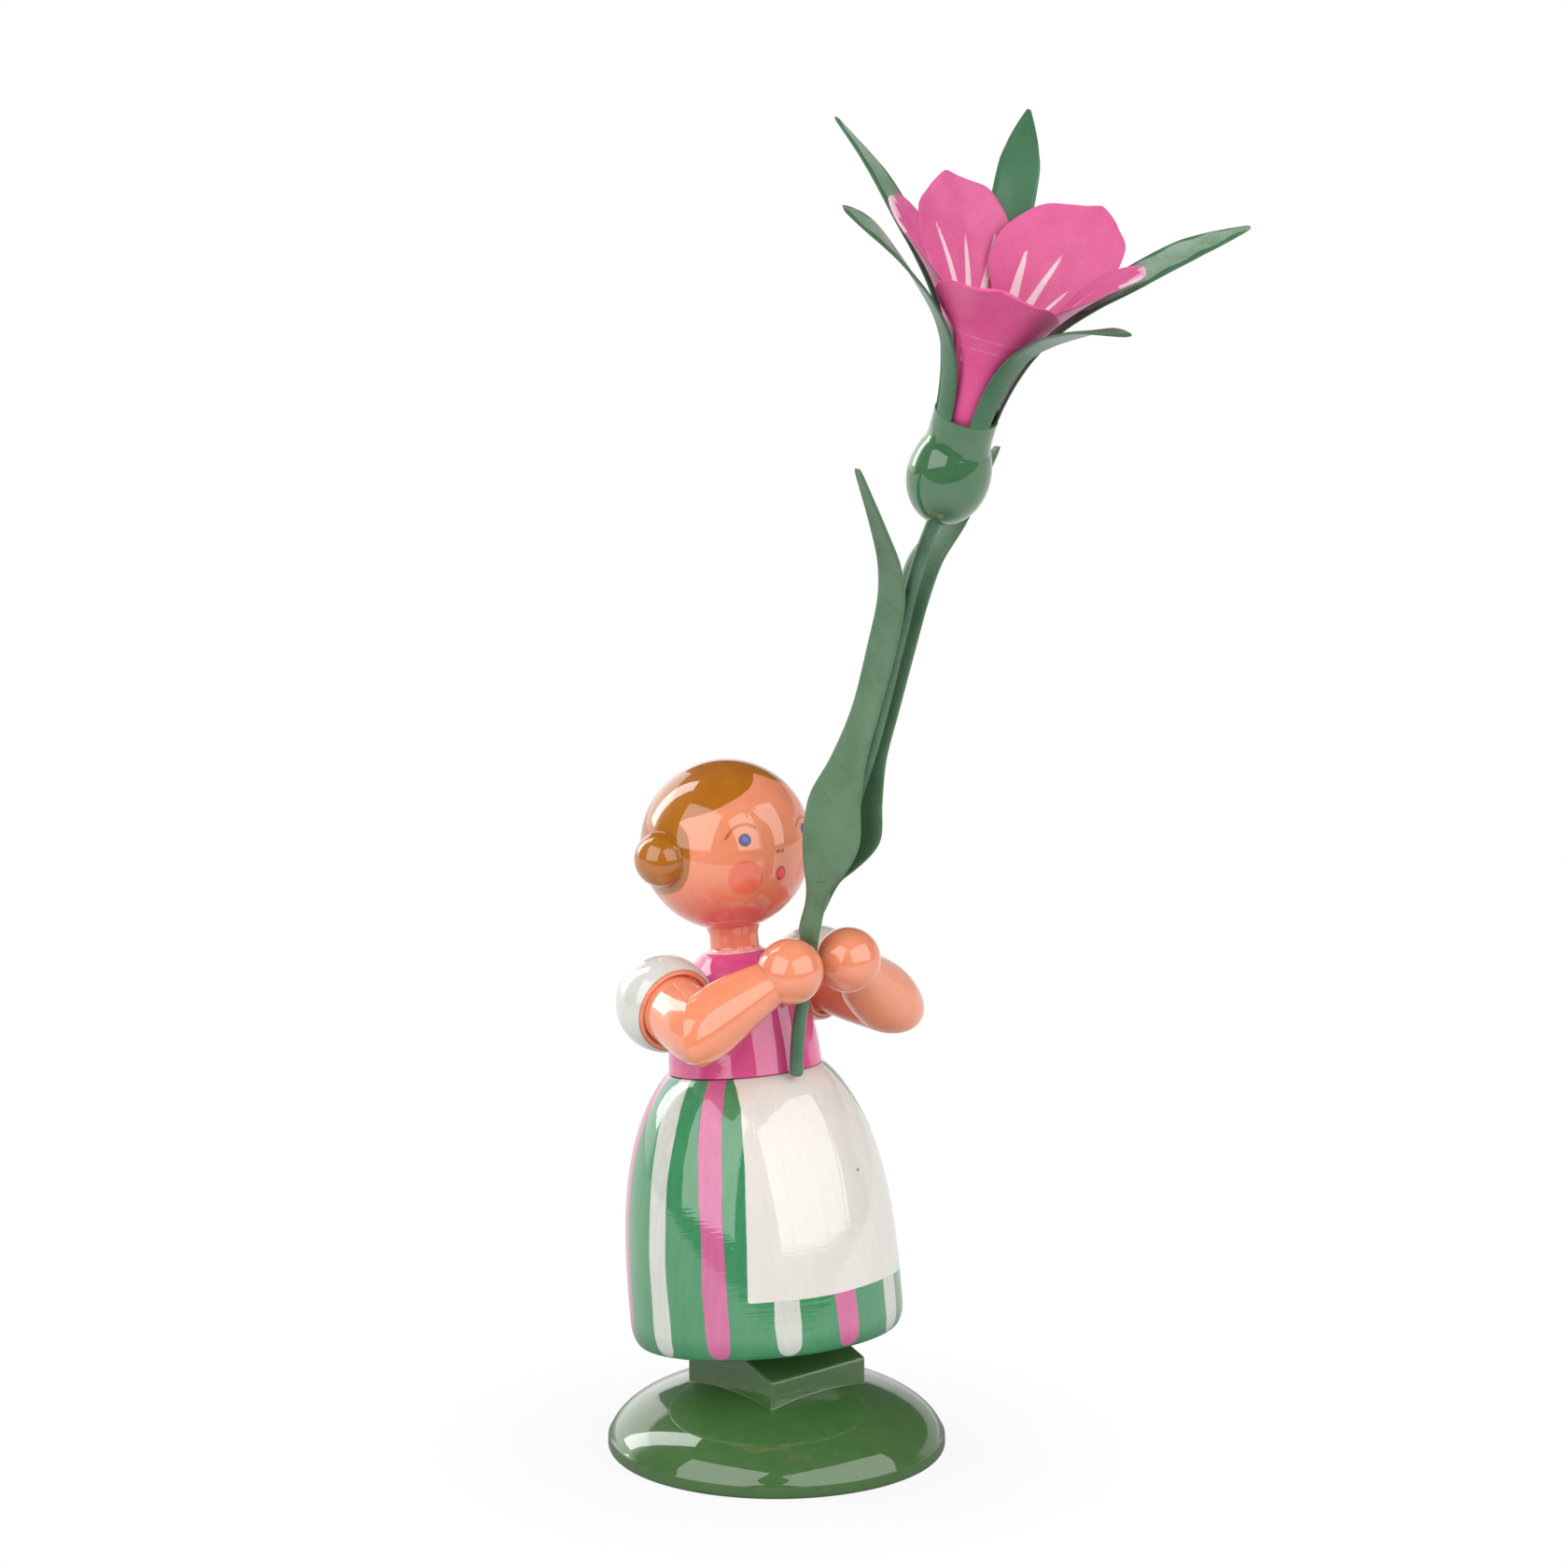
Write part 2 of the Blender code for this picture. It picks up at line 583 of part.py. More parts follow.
def make_stem():
    """The stem, from her waist, between her hands, up into the bulb."""
    add_piece("stem", tube("stem", stem_points(STEM_DEPTH_IN_BULB), STEM_RADIUS), finish(LEAF_GREEN, MATT))


def make_leaf(side, word):
    """One long leaf beside the stem, which bends away from it near the top."""
    line = smooth_line(LEAF_STATIONS, 120) * MM
    line[:, 0] += grip().z + HAND_RADIUS
    line[:, 1] += grip().y
    beside = STEM_RADIUS + GLUE_GAP + LEAF_THICKNESS / 2

    def surface(along, across):
        height, middle, width, away = line[round(along * (len(line) - 1))]
        return Vector((side * (beside + away), middle - across * side * width / 2, height))

    mesh = blade("leaf_" + word, surface, 24, 2, LEAF_THICKNESS)
    add_piece("leaf_" + word, mesh, finish(LEAF_GREEN, MATT))


def make_calyx_bulb():
    """The bulb, with a collar on top that the petals stand in and a hole below for the stem."""
    bore = CALYX_RADIUS - CALYX_WALL
    profile = [(0, -CALYX_DEPTH), (bore, -CALYX_DEPTH), (bore, 0), (CALYX_RADIUS, 0)]
    top = math.degrees(math.acos(CALYX_RADIUS / BULB_RADIUS))
    profile += arc((0, -BULB_CENTRE), (BULB_RADIUS, BULB_HALF_LENGTH), top, -90, 12)
    bulb = turned("calyx_bulb", profile, 24)
    bulb = add_piece("calyx_bulb", bulb, finish(GREEN_SKIRT, LACQUER), flower_frame())
    cut(bulb, STEM_GROOVE)


def blade_surface(foot, line, widths, setting, flatness):
    """A petal's or sepal's surface: its middle line from its foot, widened along an arc across it.

    The arc's radius is the flatness times the distance from the flower's axis. The setting is
    the blade's turn round the flower, a twist that takes one edge inwards and the other
    outwards so that neighbours pass each other, and the lift of its tip above the others.
    """
    route = [(foot[0] + out * MM, height * MM) for out, height in line]
    middle = smooth_line([foot, *route], 200)
    share, half_width = np.array(widths, dtype=float).T
    spread = np.interp(np.linspace(0, 1, len(middle)), share, half_width) * MM
    turn = Matrix.Rotation(math.radians(setting[0]), 3, "Z")
    slant = math.tan(math.radians(setting[1]))
    tip = middle[-1][0]

    def surface(along, across):
        row = round(along * (len(middle) - 1))
        radius, height = middle[row]
        aside = across * spread[row]
        bend = radius * flatness
        lift = setting[2] * MM * (radius - foot[0]) / (tip - foot[0])
        out = radius - bend + bend * math.cos(aside / bend) - slant * aside
        place = Vector((out, bend * math.sin(aside / bend), height + lift))
        place.rotate(turn)
        return place

    return surface


def make_corolla():
    """The petals stand in the collar and the sepals on its rim, one between each two petals."""
    for number, setting in enumerate(PETALS, 1):
        name = f"petal_{number}"
        surface = blade_surface(PETAL_FOOT, PETAL_LINE, PETAL_HALF_WIDTHS, setting, PETAL_FLATNESS)
        petal = blade(name, surface, 14, 6, PETAL_THICKNESS)
        add_piece(name, petal, finish(PETAL_PINK, MATT), flower_frame())
    for number, setting in enumerate(SEPALS, 1):
        name = f"sepal_{number}"
        surface = blade_surface(SEPAL_FOOT, SEPAL_LINE, SEPAL_HALF_WIDTHS, setting, SEPAL_FLATNESS)
        sepal = blade(name, surface, 14, 2, SEPAL_THICKNESS)
        add_piece(name, sepal, finish(LEAF_GREEN, MATT), flower_frame())


clear_scene()
FIGURINE = collection("wooden_figurine")
CUTTERS = collection("cutters")
SIDES = ((1, "left"), (-1, "right"))
peg_bottom, peg_top = peg_ends()
PEG_HOLE = add_cutter("peg_hole", rod("peg_hole", PEG_RADIUS + PEG_GAP, peg_bottom, peg_top + PEG_GAP))
STEM_HOLE = tube("stem_groove", stem_points(STEM_DEPTH_IN_BULB + PEG_GAP), STEM_RADIUS + PEG_GAP)
STEM_GROOVE = add_cutter("stem_groove", STEM_HOLE)

make_base_disc()
make_base_block()
make_base_peg()
make_skirt()
make_bodice()
make_neck()
make_head()
make_hair_buns()
for arm_side, arm_word in SIDES:
    make_arm(arm_side, arm_word)
    make_leaf(arm_side, arm_word)
make_stem()
make_calyx_bulb()
make_corolla()
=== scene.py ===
# %% [markdown]
# # A painted wooden girl who holds up a flower
# The figurine is turned on a lathe, glued together, painted by hand and dipped in clear lacquer.
# Its solids come ready made from CAD as a fixed frame. This lesson dresses them: every piece that
# shows is worked out again with numpy, much finer, and gets its paint from nodes. The dressed
# figurine must stay the same size.

# %% Load the frame
import math

import bmesh
import bpy
import numpy as np
from mathutils import Matrix, Vector


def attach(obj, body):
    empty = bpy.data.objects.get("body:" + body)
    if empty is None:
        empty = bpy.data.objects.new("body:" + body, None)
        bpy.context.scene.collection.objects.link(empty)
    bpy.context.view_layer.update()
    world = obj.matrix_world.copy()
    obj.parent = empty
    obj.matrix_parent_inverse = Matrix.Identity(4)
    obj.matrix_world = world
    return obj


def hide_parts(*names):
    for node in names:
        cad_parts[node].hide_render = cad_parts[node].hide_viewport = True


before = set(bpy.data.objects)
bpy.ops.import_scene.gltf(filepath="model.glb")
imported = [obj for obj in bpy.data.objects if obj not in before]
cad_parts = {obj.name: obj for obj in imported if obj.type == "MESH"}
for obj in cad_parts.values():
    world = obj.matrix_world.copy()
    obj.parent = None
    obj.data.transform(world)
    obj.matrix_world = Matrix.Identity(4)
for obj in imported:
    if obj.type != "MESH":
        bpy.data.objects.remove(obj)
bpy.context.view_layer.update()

# %% [markdown]
# ## Two placements
# The base stands upright, but the girl leans back a little on an axis of her own, and the flower
# tips forward. A turned piece is easiest to describe upright on its own axis, so each shape is
# made there in millimetres and then carried to its place by one of these matrices.

# %% Her body's axis and the measures along it
MM = 0.001
BODY = Matrix.Translation((0, -0.25, 0)) @ Matrix.Rotation(math.radians(-7.3), 4, "X")

BASE_RADIUS, DOME_FOOT, DOME_HEIGHT = 15.3, 0.5, 6.3
BLOCK_SIDE, BLOCK_HEIGHT = 11.4, 4.6
SEAT_RADIUS = BLOCK_SIDE / math.sqrt(2) + 0.14
SEAT = DOME_FOOT + DOME_HEIGHT * math.sqrt(1 - (SEAT_RADIUS / BASE_RADIUS) ** 2)
SKIRT_FOOT = SEAT + BLOCK_HEIGHT
SKIRT_HEIGHT, WAIST_RADIUS = 24.4, 6.95
WAIST = SKIRT_FOOT + SKIRT_HEIGHT
SHOULDER = WAIST + 7.85
COLLAR = WAIST + 10.65
HEAD_RADIUS = 7.7
HEAD = COLLAR + 1.9 + HEAD_RADIUS
print(f"waist {WAIST:.2f}, collar {COLLAR:.2f}, middle of the head {HEAD:.2f} mm up her axis")

# %% The arms' points, the grip and the flower's axis
SLEEVE_RADIUS, HAND_RADIUS, STEM_RADIUS = 4.37, 2.93, 0.62
SLEEVE = Vector((5.55 + SLEEVE_RADIUS - 0.82, -0.4, SHOULDER - 0.6))
SLEEVE_MOUTH = Vector((1.3, -7.68, -2.2))
ELBOW = SLEEVE + Vector((2.0, -7.0, -2.1))
ELBOW_SLIP = 0.35
HAND = SLEEVE + Vector((HAND_RADIUS + STEM_RADIUS - 0.085 - SLEEVE.x, -10.71, 2.43))
GRIP = BODY @ Vector((0, HAND.y, HAND.z))
FLOWER = (
    Matrix.Translation(GRIP + Vector((-0.25, -17.9, 49.4)))
    @ Matrix.Rotation(math.radians(23.5), 4, "X")
    @ Matrix.Rotation(math.radians(-2.5), 4, "Y")
)
BULB_RADIUS, BULB_MIDDLE, BULB_DROP = 3.55, -4.8, 4.4
SIDES = ((1, "left"), (-1, "right"))
print("grip", [round(value, 2) for value in GRIP])


def placed(points, matrix):
    """Carries an array of points by a matrix: turn them, then add its shift."""
    turn = np.array(matrix.to_3x3())
    return points @ turn.T + np.array(matrix.translation)


def on_side(point, side):
    """A point of her left side as it lies on the left, 1, or on the right, -1."""
    return Vector((point.x * side, point.y, point.z))


def along_axis(origin, direction):
    """A placement at a point whose Z runs along a direction."""
    turn = Vector(direction).to_track_quat("Z", "Y")
    return Matrix.Translation(origin) @ turn.to_matrix().to_4x4()


# %% [markdown]
# ## Lines
# Three kinds of line describe nearly every piece: a smooth curve through a few given points, an arc
# of an ellipse, and the same line again with its points evenly spaced.
# Even spacing matters because the painted patterns are stored on the points of the mesh.

# %% Smooth lines, arcs and even spacing
def smooth_line(points, count):
    """Catmull-Rom curve through the points, its knots spaced by the root of each chord."""
    points = np.array(points, dtype=float)
    ends = np.vstack([2 * points[0] - points[1], points, 2 * points[-1] - points[-2]])
    chord = np.sqrt(np.linalg.norm(np.diff(ends, axis=0), axis=1))
    knots = np.concatenate([[0.0], np.cumsum(chord)])
    wanted = np.linspace(knots[1], knots[-2], count)
    part = np.clip(np.searchsorted(knots, wanted, side="right") - 1, 1, len(points) - 1)
    p0, p1, p2, p3 = (ends[part + k] for k in (-1, 0, 1, 2))
    t0, t1, t2, t3 = (knots[part + k] for k in (-1, 0, 1, 2))

    def mix(a, b, start, stop):
        return a + (b - a) * ((wanted - start) / (stop - start))[:, None]

    a1, a2, a3 = mix(p0, p1, t0, t1), mix(p1, p2, t1, t2), mix(p2, p3, t2, t3)
    return mix(mix(a1, a2, t0, t2), mix(a2, a3, t1, t3), t1, t2)


def arc(centre, radii, start, stop, count):
    """Points of an ellipse: centre + (radius cos t, radius sin t), t in degrees."""
    t = np.radians(np.linspace(start, stop, count))
    return np.stack([centre[0] + radii[0] * np.cos(t), centre[1] + radii[1] * np.sin(t)], axis=1)


def length_along(line):
    """How far along the line each point is, as a running sum of its steps."""
    steps = np.linalg.norm(np.diff(line, axis=0), axis=1)
    return np.concatenate([[0.0], np.cumsum(steps)])


def evenly(line, spacing):
    """The same line with points every spacing, read from it at even distances."""
    line = np.asarray(line, dtype=float)
    run = length_along(line)
    wanted = np.linspace(0, run[-1], max(4, int(run[-1] / spacing) + 1))
    return np.stack([np.interp(wanted, run, line[:, axis]) for axis in range(line.shape[1])], axis=1)


# %% [markdown]
# ## Skins
# Every piece is one closed skin: rings of points, one after another, joined by quads, with a fan
# that closes each end. A turned piece, a bent stem, a petal and even the square block can all be
# written as such rings, so one function makes the faces of all of them. A skin can come out with
# its faces turned inwards. Its signed volume is then below zero, and the faces are turned over.

# %% Rings of points to a mesh
def skin_faces(rows, columns):
    """Quads between neighbouring rings, and a fan from a point at each end."""
    index = np.arange(rows * columns).reshape(rows, columns)
    beside = np.roll(index, -1, axis=1)
    quads = np.stack([index[:-1], beside[:-1], beside[1:], index[1:]], axis=-1).reshape(-1, 4)
    first, last = rows * columns, rows * columns + 1
    start = np.stack([np.full(columns, first), beside[0], index[0]], axis=-1)
    stop = np.stack([index[-1], beside[-1], np.full(columns, last)], axis=-1)
    return quads, np.vstack([start, stop])


def signed_volume(corners, quads, fans):
    """Sum of a . (b x c) / 6 over all triangles: above zero where faces point outwards."""
    triangles = np.vstack([quads[:, [0, 1, 2]], quads[:, [0, 2, 3]], fans])
    a, b, c = (corners[triangles[:, k]] - corners.mean(axis=0) for k in range(3))
    return np.einsum("ij,ij->i", a, np.cross(b, c)).sum() / 6


def with_ends(values):
    """Values on the rings, and the mean of the first and the last ring for the two end points."""
    flat = values.reshape(-1, *values.shape[2:])
    return np.concatenate([flat, [values[0].mean(axis=0)], [values[-1].mean(axis=0)]])


def shaded(mesh):
    """Smooth shading, with an edge sharp where its faces meet at over 40 degrees."""
    mesh.shade_smooth()
    mesh.set_sharp_from_angle(angle=math.radians(40))


def skin(name, rings, marks):
    """A closed mesh in metres from rings in millimetres, with numbers kept on its points."""
    quads, fans = skin_faces(*rings.shape[:2])
    corners = with_ends(rings)
    if signed_volume(corners, quads, fans) < 0:
        quads, fans = quads[:, ::-1], fans[:, ::-1]
    mesh = bpy.data.meshes.new(name)
    mesh.from_pydata((corners * MM).tolist(), [], quads.tolist() + fans.tolist())
    for label, values in marks.items():
        kept = mesh.attributes.new(label, "FLOAT", "POINT")
        kept.data.foreach_set("value", with_ends(values).astype(np.float32))
    shaded(mesh)
    return mesh


# %% [markdown]
# A few pieces are sawn flat after that: Blender's bisect splits the mesh along a plane, and the
# open edge is filled. A finished piece rides on the figurine and replaces the solid of its name.

# %% Sawing a skin and dressing the frame with it
def sawn(mesh, point, normal):
    """Cuts a mesh flat along a plane, drops what is past it, and closes the cut."""
    shape = bmesh.new()
    shape.from_mesh(mesh)
    whole = shape.verts[:] + shape.edges[:] + shape.faces[:]
    plane = {"plane_co": point * MM, "plane_no": normal, "dist": 1e-8}
    cut = bmesh.ops.bisect_plane(shape, geom=whole, clear_outer=True, **plane)
    edges = [item for item in cut["geom_cut"] if isinstance(item, bmesh.types.BMEdge)]
    bmesh.ops.edgeloop_fill(shape, edges=edges)
    bmesh.ops.recalc_face_normals(shape, faces=shape.faces[:])
    shape.to_mesh(mesh)
    shape.free()
    shaded(mesh)


def dress(node, rings, finish, marks=None, cuts=()):
    """Adds a finished piece that rides on the figurine and stands for one of its solids."""
    mesh = skin(node + "_painted", rings, marks or {})
    for point, normal in cuts:
        sawn(mesh, point, normal)
    mesh.materials.append(finish)
    piece = bpy.data.objects.new(mesh.name, mesh)
    bpy.context.scene.collection.objects.link(piece)
    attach(piece, "root")
    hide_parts(node)
    print(f"{mesh.name}: {len(mesh.vertices)} points")


# %% [markdown]
# ## Turned shapes
# A lathe turns a profile round an axis. The profile is a list of (radius, height), and the skin
# carries it round: x = radius cos a, y = radius sin a, z = height. It starts and ends a little
# off the axis, and the fan closes what is left.

# %% Turning a profile
CORE = 0.3


def turned(profile, around):
    """Rings of a profile (radius, height) carried round Z."""
    angle = np.linspace(0, 2 * np.pi, around, endpoint=False)
    radius, height = np.asarray(profile, dtype=float).T[:, :, None]
    return np.stack([radius * np.cos(angle), radius * np.sin(angle), height + 0 * angle], axis=-1)


def join(*parts):
    """Several runs of (radius, height) as one profile."""
    return np.vstack([np.atleast_2d(np.asarray(part, dtype=float)) for part in parts])


def ball_profile(radius, spacing):
    """A half circle from the bottom pole to the top one."""
    return arc((0, 0), (radius, radius), -89.5, 89.5, int(np.pi * radius / spacing))


def facing(rings):
    """Each point's turn from where she faces, in degrees, and its radius from the axis."""
    x, y = rings[..., 0], rings[..., 1]
    return np.degrees(np.arctan2(x, -y)), np.hypot(x, y)


# %% [markdown]
# ## Paint in nodes
# A paint layer is never one flat colour: the brush leaves it thicker here and thinner there, so
# each colour is a pair of shades that noise mixes. Where one colour ends on another, the mesh
# holds the distance to that edge in millimetres, below zero inside. A narrow step across zero
# gives an edge that stays crisp from near by, and the same step raises the paint a little.

# %% Small helpers for node trees
def colour(red, green, blue):
    """A paint's shade, given as it looks on screen from 0 to 255, as linear light."""
    value = np.array([red, green, blue]) / 255
    linear = np.where(value <= 0.04045, value / 12.92, ((value + 0.055) / 1.055) ** 2.4)
    return (*linear, 1.0)


def plug(tree, made, **inputs):
    """Sets a node's inputs: another node's socket is linked, and a plain value is set."""
    for label, value in inputs.items():
        key = int(label[1:]) if label[1:].isdigit() else label.replace("_", " ")
        if isinstance(value, bpy.types.NodeSocket):
            tree.links.new(value, made.inputs[key])
        else:
            made.inputs[key].default_value = value
    return made


def node(tree, kind, settings=None, **inputs):
    """Adds a node with its settings and inputs."""
    made = tree.nodes.new("ShaderNode" + kind)
    for label, value in (settings or {}).items():
        setattr(made, label, value)
    return plug(tree, made, **inputs)


def sums(tree, operation, first, second):
    """One step of arithmetic between two numbers or sockets."""
    return node(tree, "Math", {"operation": operation}, i0=first, i1=second).outputs[0]


def plus(tree, first, second):
    """Their sum."""
    return sums(tree, "ADD", first, second)


def times(tree, first, second):
    """Their product."""
    return sums(tree, "MULTIPLY", first, second)


def vectors(tree, operation, first, second=(0, 0, 0), result="Vector"):
    """The same between two vectors. The result may also be a number, their "Value"."""
    return node(tree, "VectorMath", {"operation": operation}, i0=first, i1=second).outputs[result]


def blend_colours(tree, share, below, above):
    """The colour above laid over the colour below by a share."""
    return node(tree, "Mix", {"data_type": "RGBA"}, i0=share, i6=below, i7=above).outputs[2]


def noise(tree, where, scale, detail=3.0, roughness=0.55, distortion=0.0):
    """Noise with features of about 1/scale metres."""
    made = node(tree, "TexNoise", Vector=where, Scale=scale, Detail=detail, Roughness=roughness,
                Distortion=distortion)
    return made.outputs["Fac"]


def stretched(tree, where, scale):
    """Coordinates scaled unevenly, so that noise on them runs along one direction."""
    return node(tree, "Mapping", Vector=where, Scale=scale).outputs[0]


def ranged(tree, value, low, high, to_low=0.0, to_high=1.0):
    """A value carried from one range to another by a smooth step, with its ends held."""
    made = node(tree, "MapRange", {"interpolation_type": "SMOOTHSTEP"}, i0=value, i1=low, i2=high,
                i3=to_low, i4=to_high)
    return made.outputs[0]


def bump(tree, height, distance=MM, strength=1.0):
    """The surface's direction as a height tilts it. A height of 1 is the distance."""
    return node(tree, "Bump", Strength=strength, Distance=distance, Height=height).outputs[0]


# %% [markdown]
# A material starts with one shader, and reads the piece's own coordinates. Both finishes below lay
# their painted shapes over the ground in the same way.

# %% A new material and its painted shapes
def new_material(name):
    """A material, its node tree, its shader, and the coordinates of the piece."""
    material = bpy.data.materials.new(name)
    material.use_nodes = True
    tree = material.node_tree
    return material, tree, tree.nodes["Principled BSDF"], node(tree, "TexCoord").outputs["Object"]


def layered(tree, shade, height, share, layers, ragged, edge, relief):
    """Paints shapes over a shade, and raises each by its relief.

    A layer is (mark, dark shade, light shade) and may add how soft its edge is. The mark is the
    distance kept on the mesh, and noise makes it ragged.
    """
    for mark, dark, light, *softness in layers:
        soft = softness[0] if softness else edge
        distance = plus(tree, node(tree, "Attribute", {"attribute_name": mark}).outputs["Fac"], ragged)
        inside = ranged(tree, distance, soft, -soft)
        shade = blend_colours(tree, inside, shade, blend_colours(tree, share, dark, light))
        height = plus(tree, height, times(tree, inside, relief))
    return shade, height


# %% [markdown]
# ### Lacquered paint
# The finish of nearly all the wood: paint that is slightly matt, under a thick clear coat that
# gives the sharp reflections. The paint's own surface carries brush marks and the raised edges of
# the layers. The clear coat evens most of that out and only waves a little.

# %% The lacquered finish
def lacquered(name, ground, layers=(), strokes=(900, 900, 900), ragged=0.03, wave=0.006, rings=0.0):
    """Paint layers over a ground colour under clear lacquer, with heights in millimetres.

    Rings are the fine ridges that turning leaves: noise that changes quickly up the axis and out
    from it, and slowly round it.
    """
    material, tree, shader, where = new_material(name)
    brush = noise(tree, stretched(tree, where, strokes), 1.0, 4.0, 0.6)
    share = ranged(tree, brush, 0.3, 0.7)
    edge_noise = times(tree, plus(tree, noise(tree, where, 1400, 2.0), -0.5), 2 * ragged)
    shade, height = blend_colours(tree, share, *ground), times(tree, brush, 0.001)
    shade, height = layered(tree, shade, height, share, layers, edge_noise, edge=0.045, relief=0.02)

    from_axis = vectors(tree, "LENGTH", vectors(tree, "MULTIPLY", where, (1, 1, 0)), result="Value")
    outwards = node(tree, "CombineXYZ", Z=times(tree, from_axis, 2600)).outputs[0]
    ridges = noise(tree, vectors(tree, "ADD", stretched(tree, where, (260, 260, 3600)), outwards), 1.0, 2.0)
    ripple = plus(tree, times(tree, noise(tree, where, 330, 1.0), wave), times(tree, ridges, rings))
    plug(
        tree,
        shader,
        Base_Color=shade,
        Roughness=ranged(tree, brush, 0.2, 0.8, 0.36, 0.46),
        Normal=bump(tree, height),
        Specular_IOR_Level=0.12,
        Coat_Normal=bump(tree, plus(tree, ripple, times(tree, height, 0.35))),
        Coat_Weight=1.0,
        Coat_Roughness=0.03,
        Coat_IOR=1.78,
    )
    return material


# %% [markdown]
# ### Cut sheet
# The petals, the sepals and the leaves are cut from a thin sheet with a fine grain, painted matt
# and thinly varnished. Grain and a few cross creases are heights, so light picks them out.

# %% The matt finish of the cut sheet
def sheet(name, dark, light, layers=(), grain=0.012, creases=0.006, varnish=0.18, blur=0.25):
    """A painted sheet with grain and creases, painted layers and thin varnish."""
    material, tree, shader, where = new_material(name)
    fine = noise(tree, where, 5200, 3.0, 0.65)
    cloud = noise(tree, where, 260, 4.0, 0.6)
    share = ranged(tree, plus(tree, times(tree, fine, 0.6), cloud), 0.55, 1.0)
    folds = noise(tree, stretched(tree, where, (150, 500, 1500)), 1.0, 3.0, 0.5, 0.6)
    height = plus(tree, times(tree, fine, grain), times(tree, ranged(tree, folds, 0.44, 0.5), creases))
    shade = blend_colours(tree, share, dark, light)
    edge_noise = times(tree, plus(tree, fine, -0.5), 0.1)
    shade, height = layered(tree, shade, height, share, layers, edge_noise, edge=0.05, relief=0.015)
    plug(
        tree,
        shader,
        Base_Color=shade,
        Roughness=ranged(tree, fine, 0.3, 0.7, 0.42, 0.6),
        Normal=bump(tree, height),
        Specular_IOR_Level=0.3,
        Coat_Weight=varnish,
        Coat_Roughness=blur,
        Coat_IOR=1.6,
    )
    return material


# %% [markdown]
# ### The paints
# Each paint is a dark and a light shade of the same colour.

# %% Shades of every paint
BASE_GREEN = (colour(66, 104, 52), colour(72, 110, 58))
SKIRT_GREEN = (colour(58, 138, 90), colour(66, 146, 98))
BODICE_PINK = (colour(220, 80, 140), colour(228, 90, 150))
STRIPE_PINK = (colour(204, 98, 148), colour(212, 107, 156))
WHITE = (colour(204, 206, 197), colour(214, 216, 208))
SLEEVE_WHITE = (colour(216, 215, 208), colour(224, 223, 216))
APRON_WHITE = (colour(229, 224, 216), colour(233, 228, 220))
FLESH = (colour(244, 147, 108), colour(248, 153, 114))
NECK_FLESH = (colour(244, 134, 106), colour(248, 140, 110))
PALE_RING_PAINT = (colour(232, 170, 170), colour(246, 200, 196))
HAIR = (colour(178, 104, 10), colour(186, 112, 16))
CHEEK = (colour(244, 114, 86), colour(248, 120, 92))
BROW = (colour(204, 106, 40), colour(214, 118, 52))
NOSE = (colour(170, 84, 40), colour(186, 98, 50))
# Redder flesh for the lower head: painted light, the pink glow that the bodice throws up under the chin.
PINK_BOUNCE_LIGHT = (colour(238, 110, 92), colour(242, 118, 98))
EYE_RING = (colour(16, 26, 92), colour(26, 36, 108))
IRIS = (colour(36, 70, 172), colour(48, 84, 188))
MOUTH = (colour(196, 0, 6), colour(208, 0, 14))
LIPS = (colour(250, 0, 30), colour(254, 4, 40))
LEAF_GREEN = (colour(80, 117, 84), colour(97, 134, 101))
# Darker green of the painted shade in the leaves' creases.
LEAF_CREASE_SHADE = (colour(68, 102, 74), colour(82, 118, 88))
STEM_GREEN = (colour(58, 98, 72), colour(82, 124, 94))
# Paler green of the painted sheen on sepals 2, 3 and 5.
SEPAL_SHEEN = (colour(112, 146, 118), colour(150, 176, 152))
SEPAL_GREEN = (colour(58, 106, 70), colour(70, 120, 86))
BULB_GREEN = (colour(60, 112, 70), colour(68, 120, 78))
PETAL_PINK = (colour(216, 90, 148), colour(226, 106, 160))
# A lighter copy of the petal pink for petal 4: painted light on its shaded outside.
LIT_PETAL_PINK = (colour(240, 84, 152), colour(248, 98, 164))
STROKE_WHITE = (colour(234, 204, 212), colour(248, 230, 232))
WORN = (colour(236, 172, 198), colour(248, 214, 224))
DOWEL = (colour(170, 128, 84), colour(222, 186, 138))
print("paints mixed")

# %% [markdown]
# ## Base
# The foot is a disc turned to a low dome. Its profile is a flat underside, a small rounding, a
# low upright rim, and most of a quarter of an ellipse.

# %% Domed disc
edge = arc((BASE_RADIUS - 0.35, DOME_FOOT), (0.35, DOME_FOOT), -90, 0, 12)
rim = [(BASE_RADIUS - 0.02, 1.22), (BASE_RADIUS - 0.06, 1.32), (BASE_RADIUS - 0.13, 1.4)]
dome = arc((0, DOME_FOOT), (BASE_RADIUS, DOME_HEIGHT), 9.4, 89, 200)
base_paint = lacquered("base green lacquer", BASE_GREEN, wave=0.014, rings=0.009)
disc_profile = evenly(join((CORE, 0.0), edge, rim, dome), 0.16)
dress("base_disc", turned(disc_profile, 240), base_paint)

# %% [markdown]
# The block on the dome was sawn: its top is the plane of the skirt's underside, cut down to the
# front by a second plane. Each ring is a rounded square. The rings climb the sides, go round a
# small worn edge, and shrink over the top. A little bead of lacquer runs round its foot.

# %% Block with worn edges
HALF, WORN_EDGE, BEAD = BLOCK_SIDE / 2, 0.28, 0.16
FRONT_HEIGHT, FRONT_SLOPE = 2.6, math.radians(21)
TIGHT = 0.02


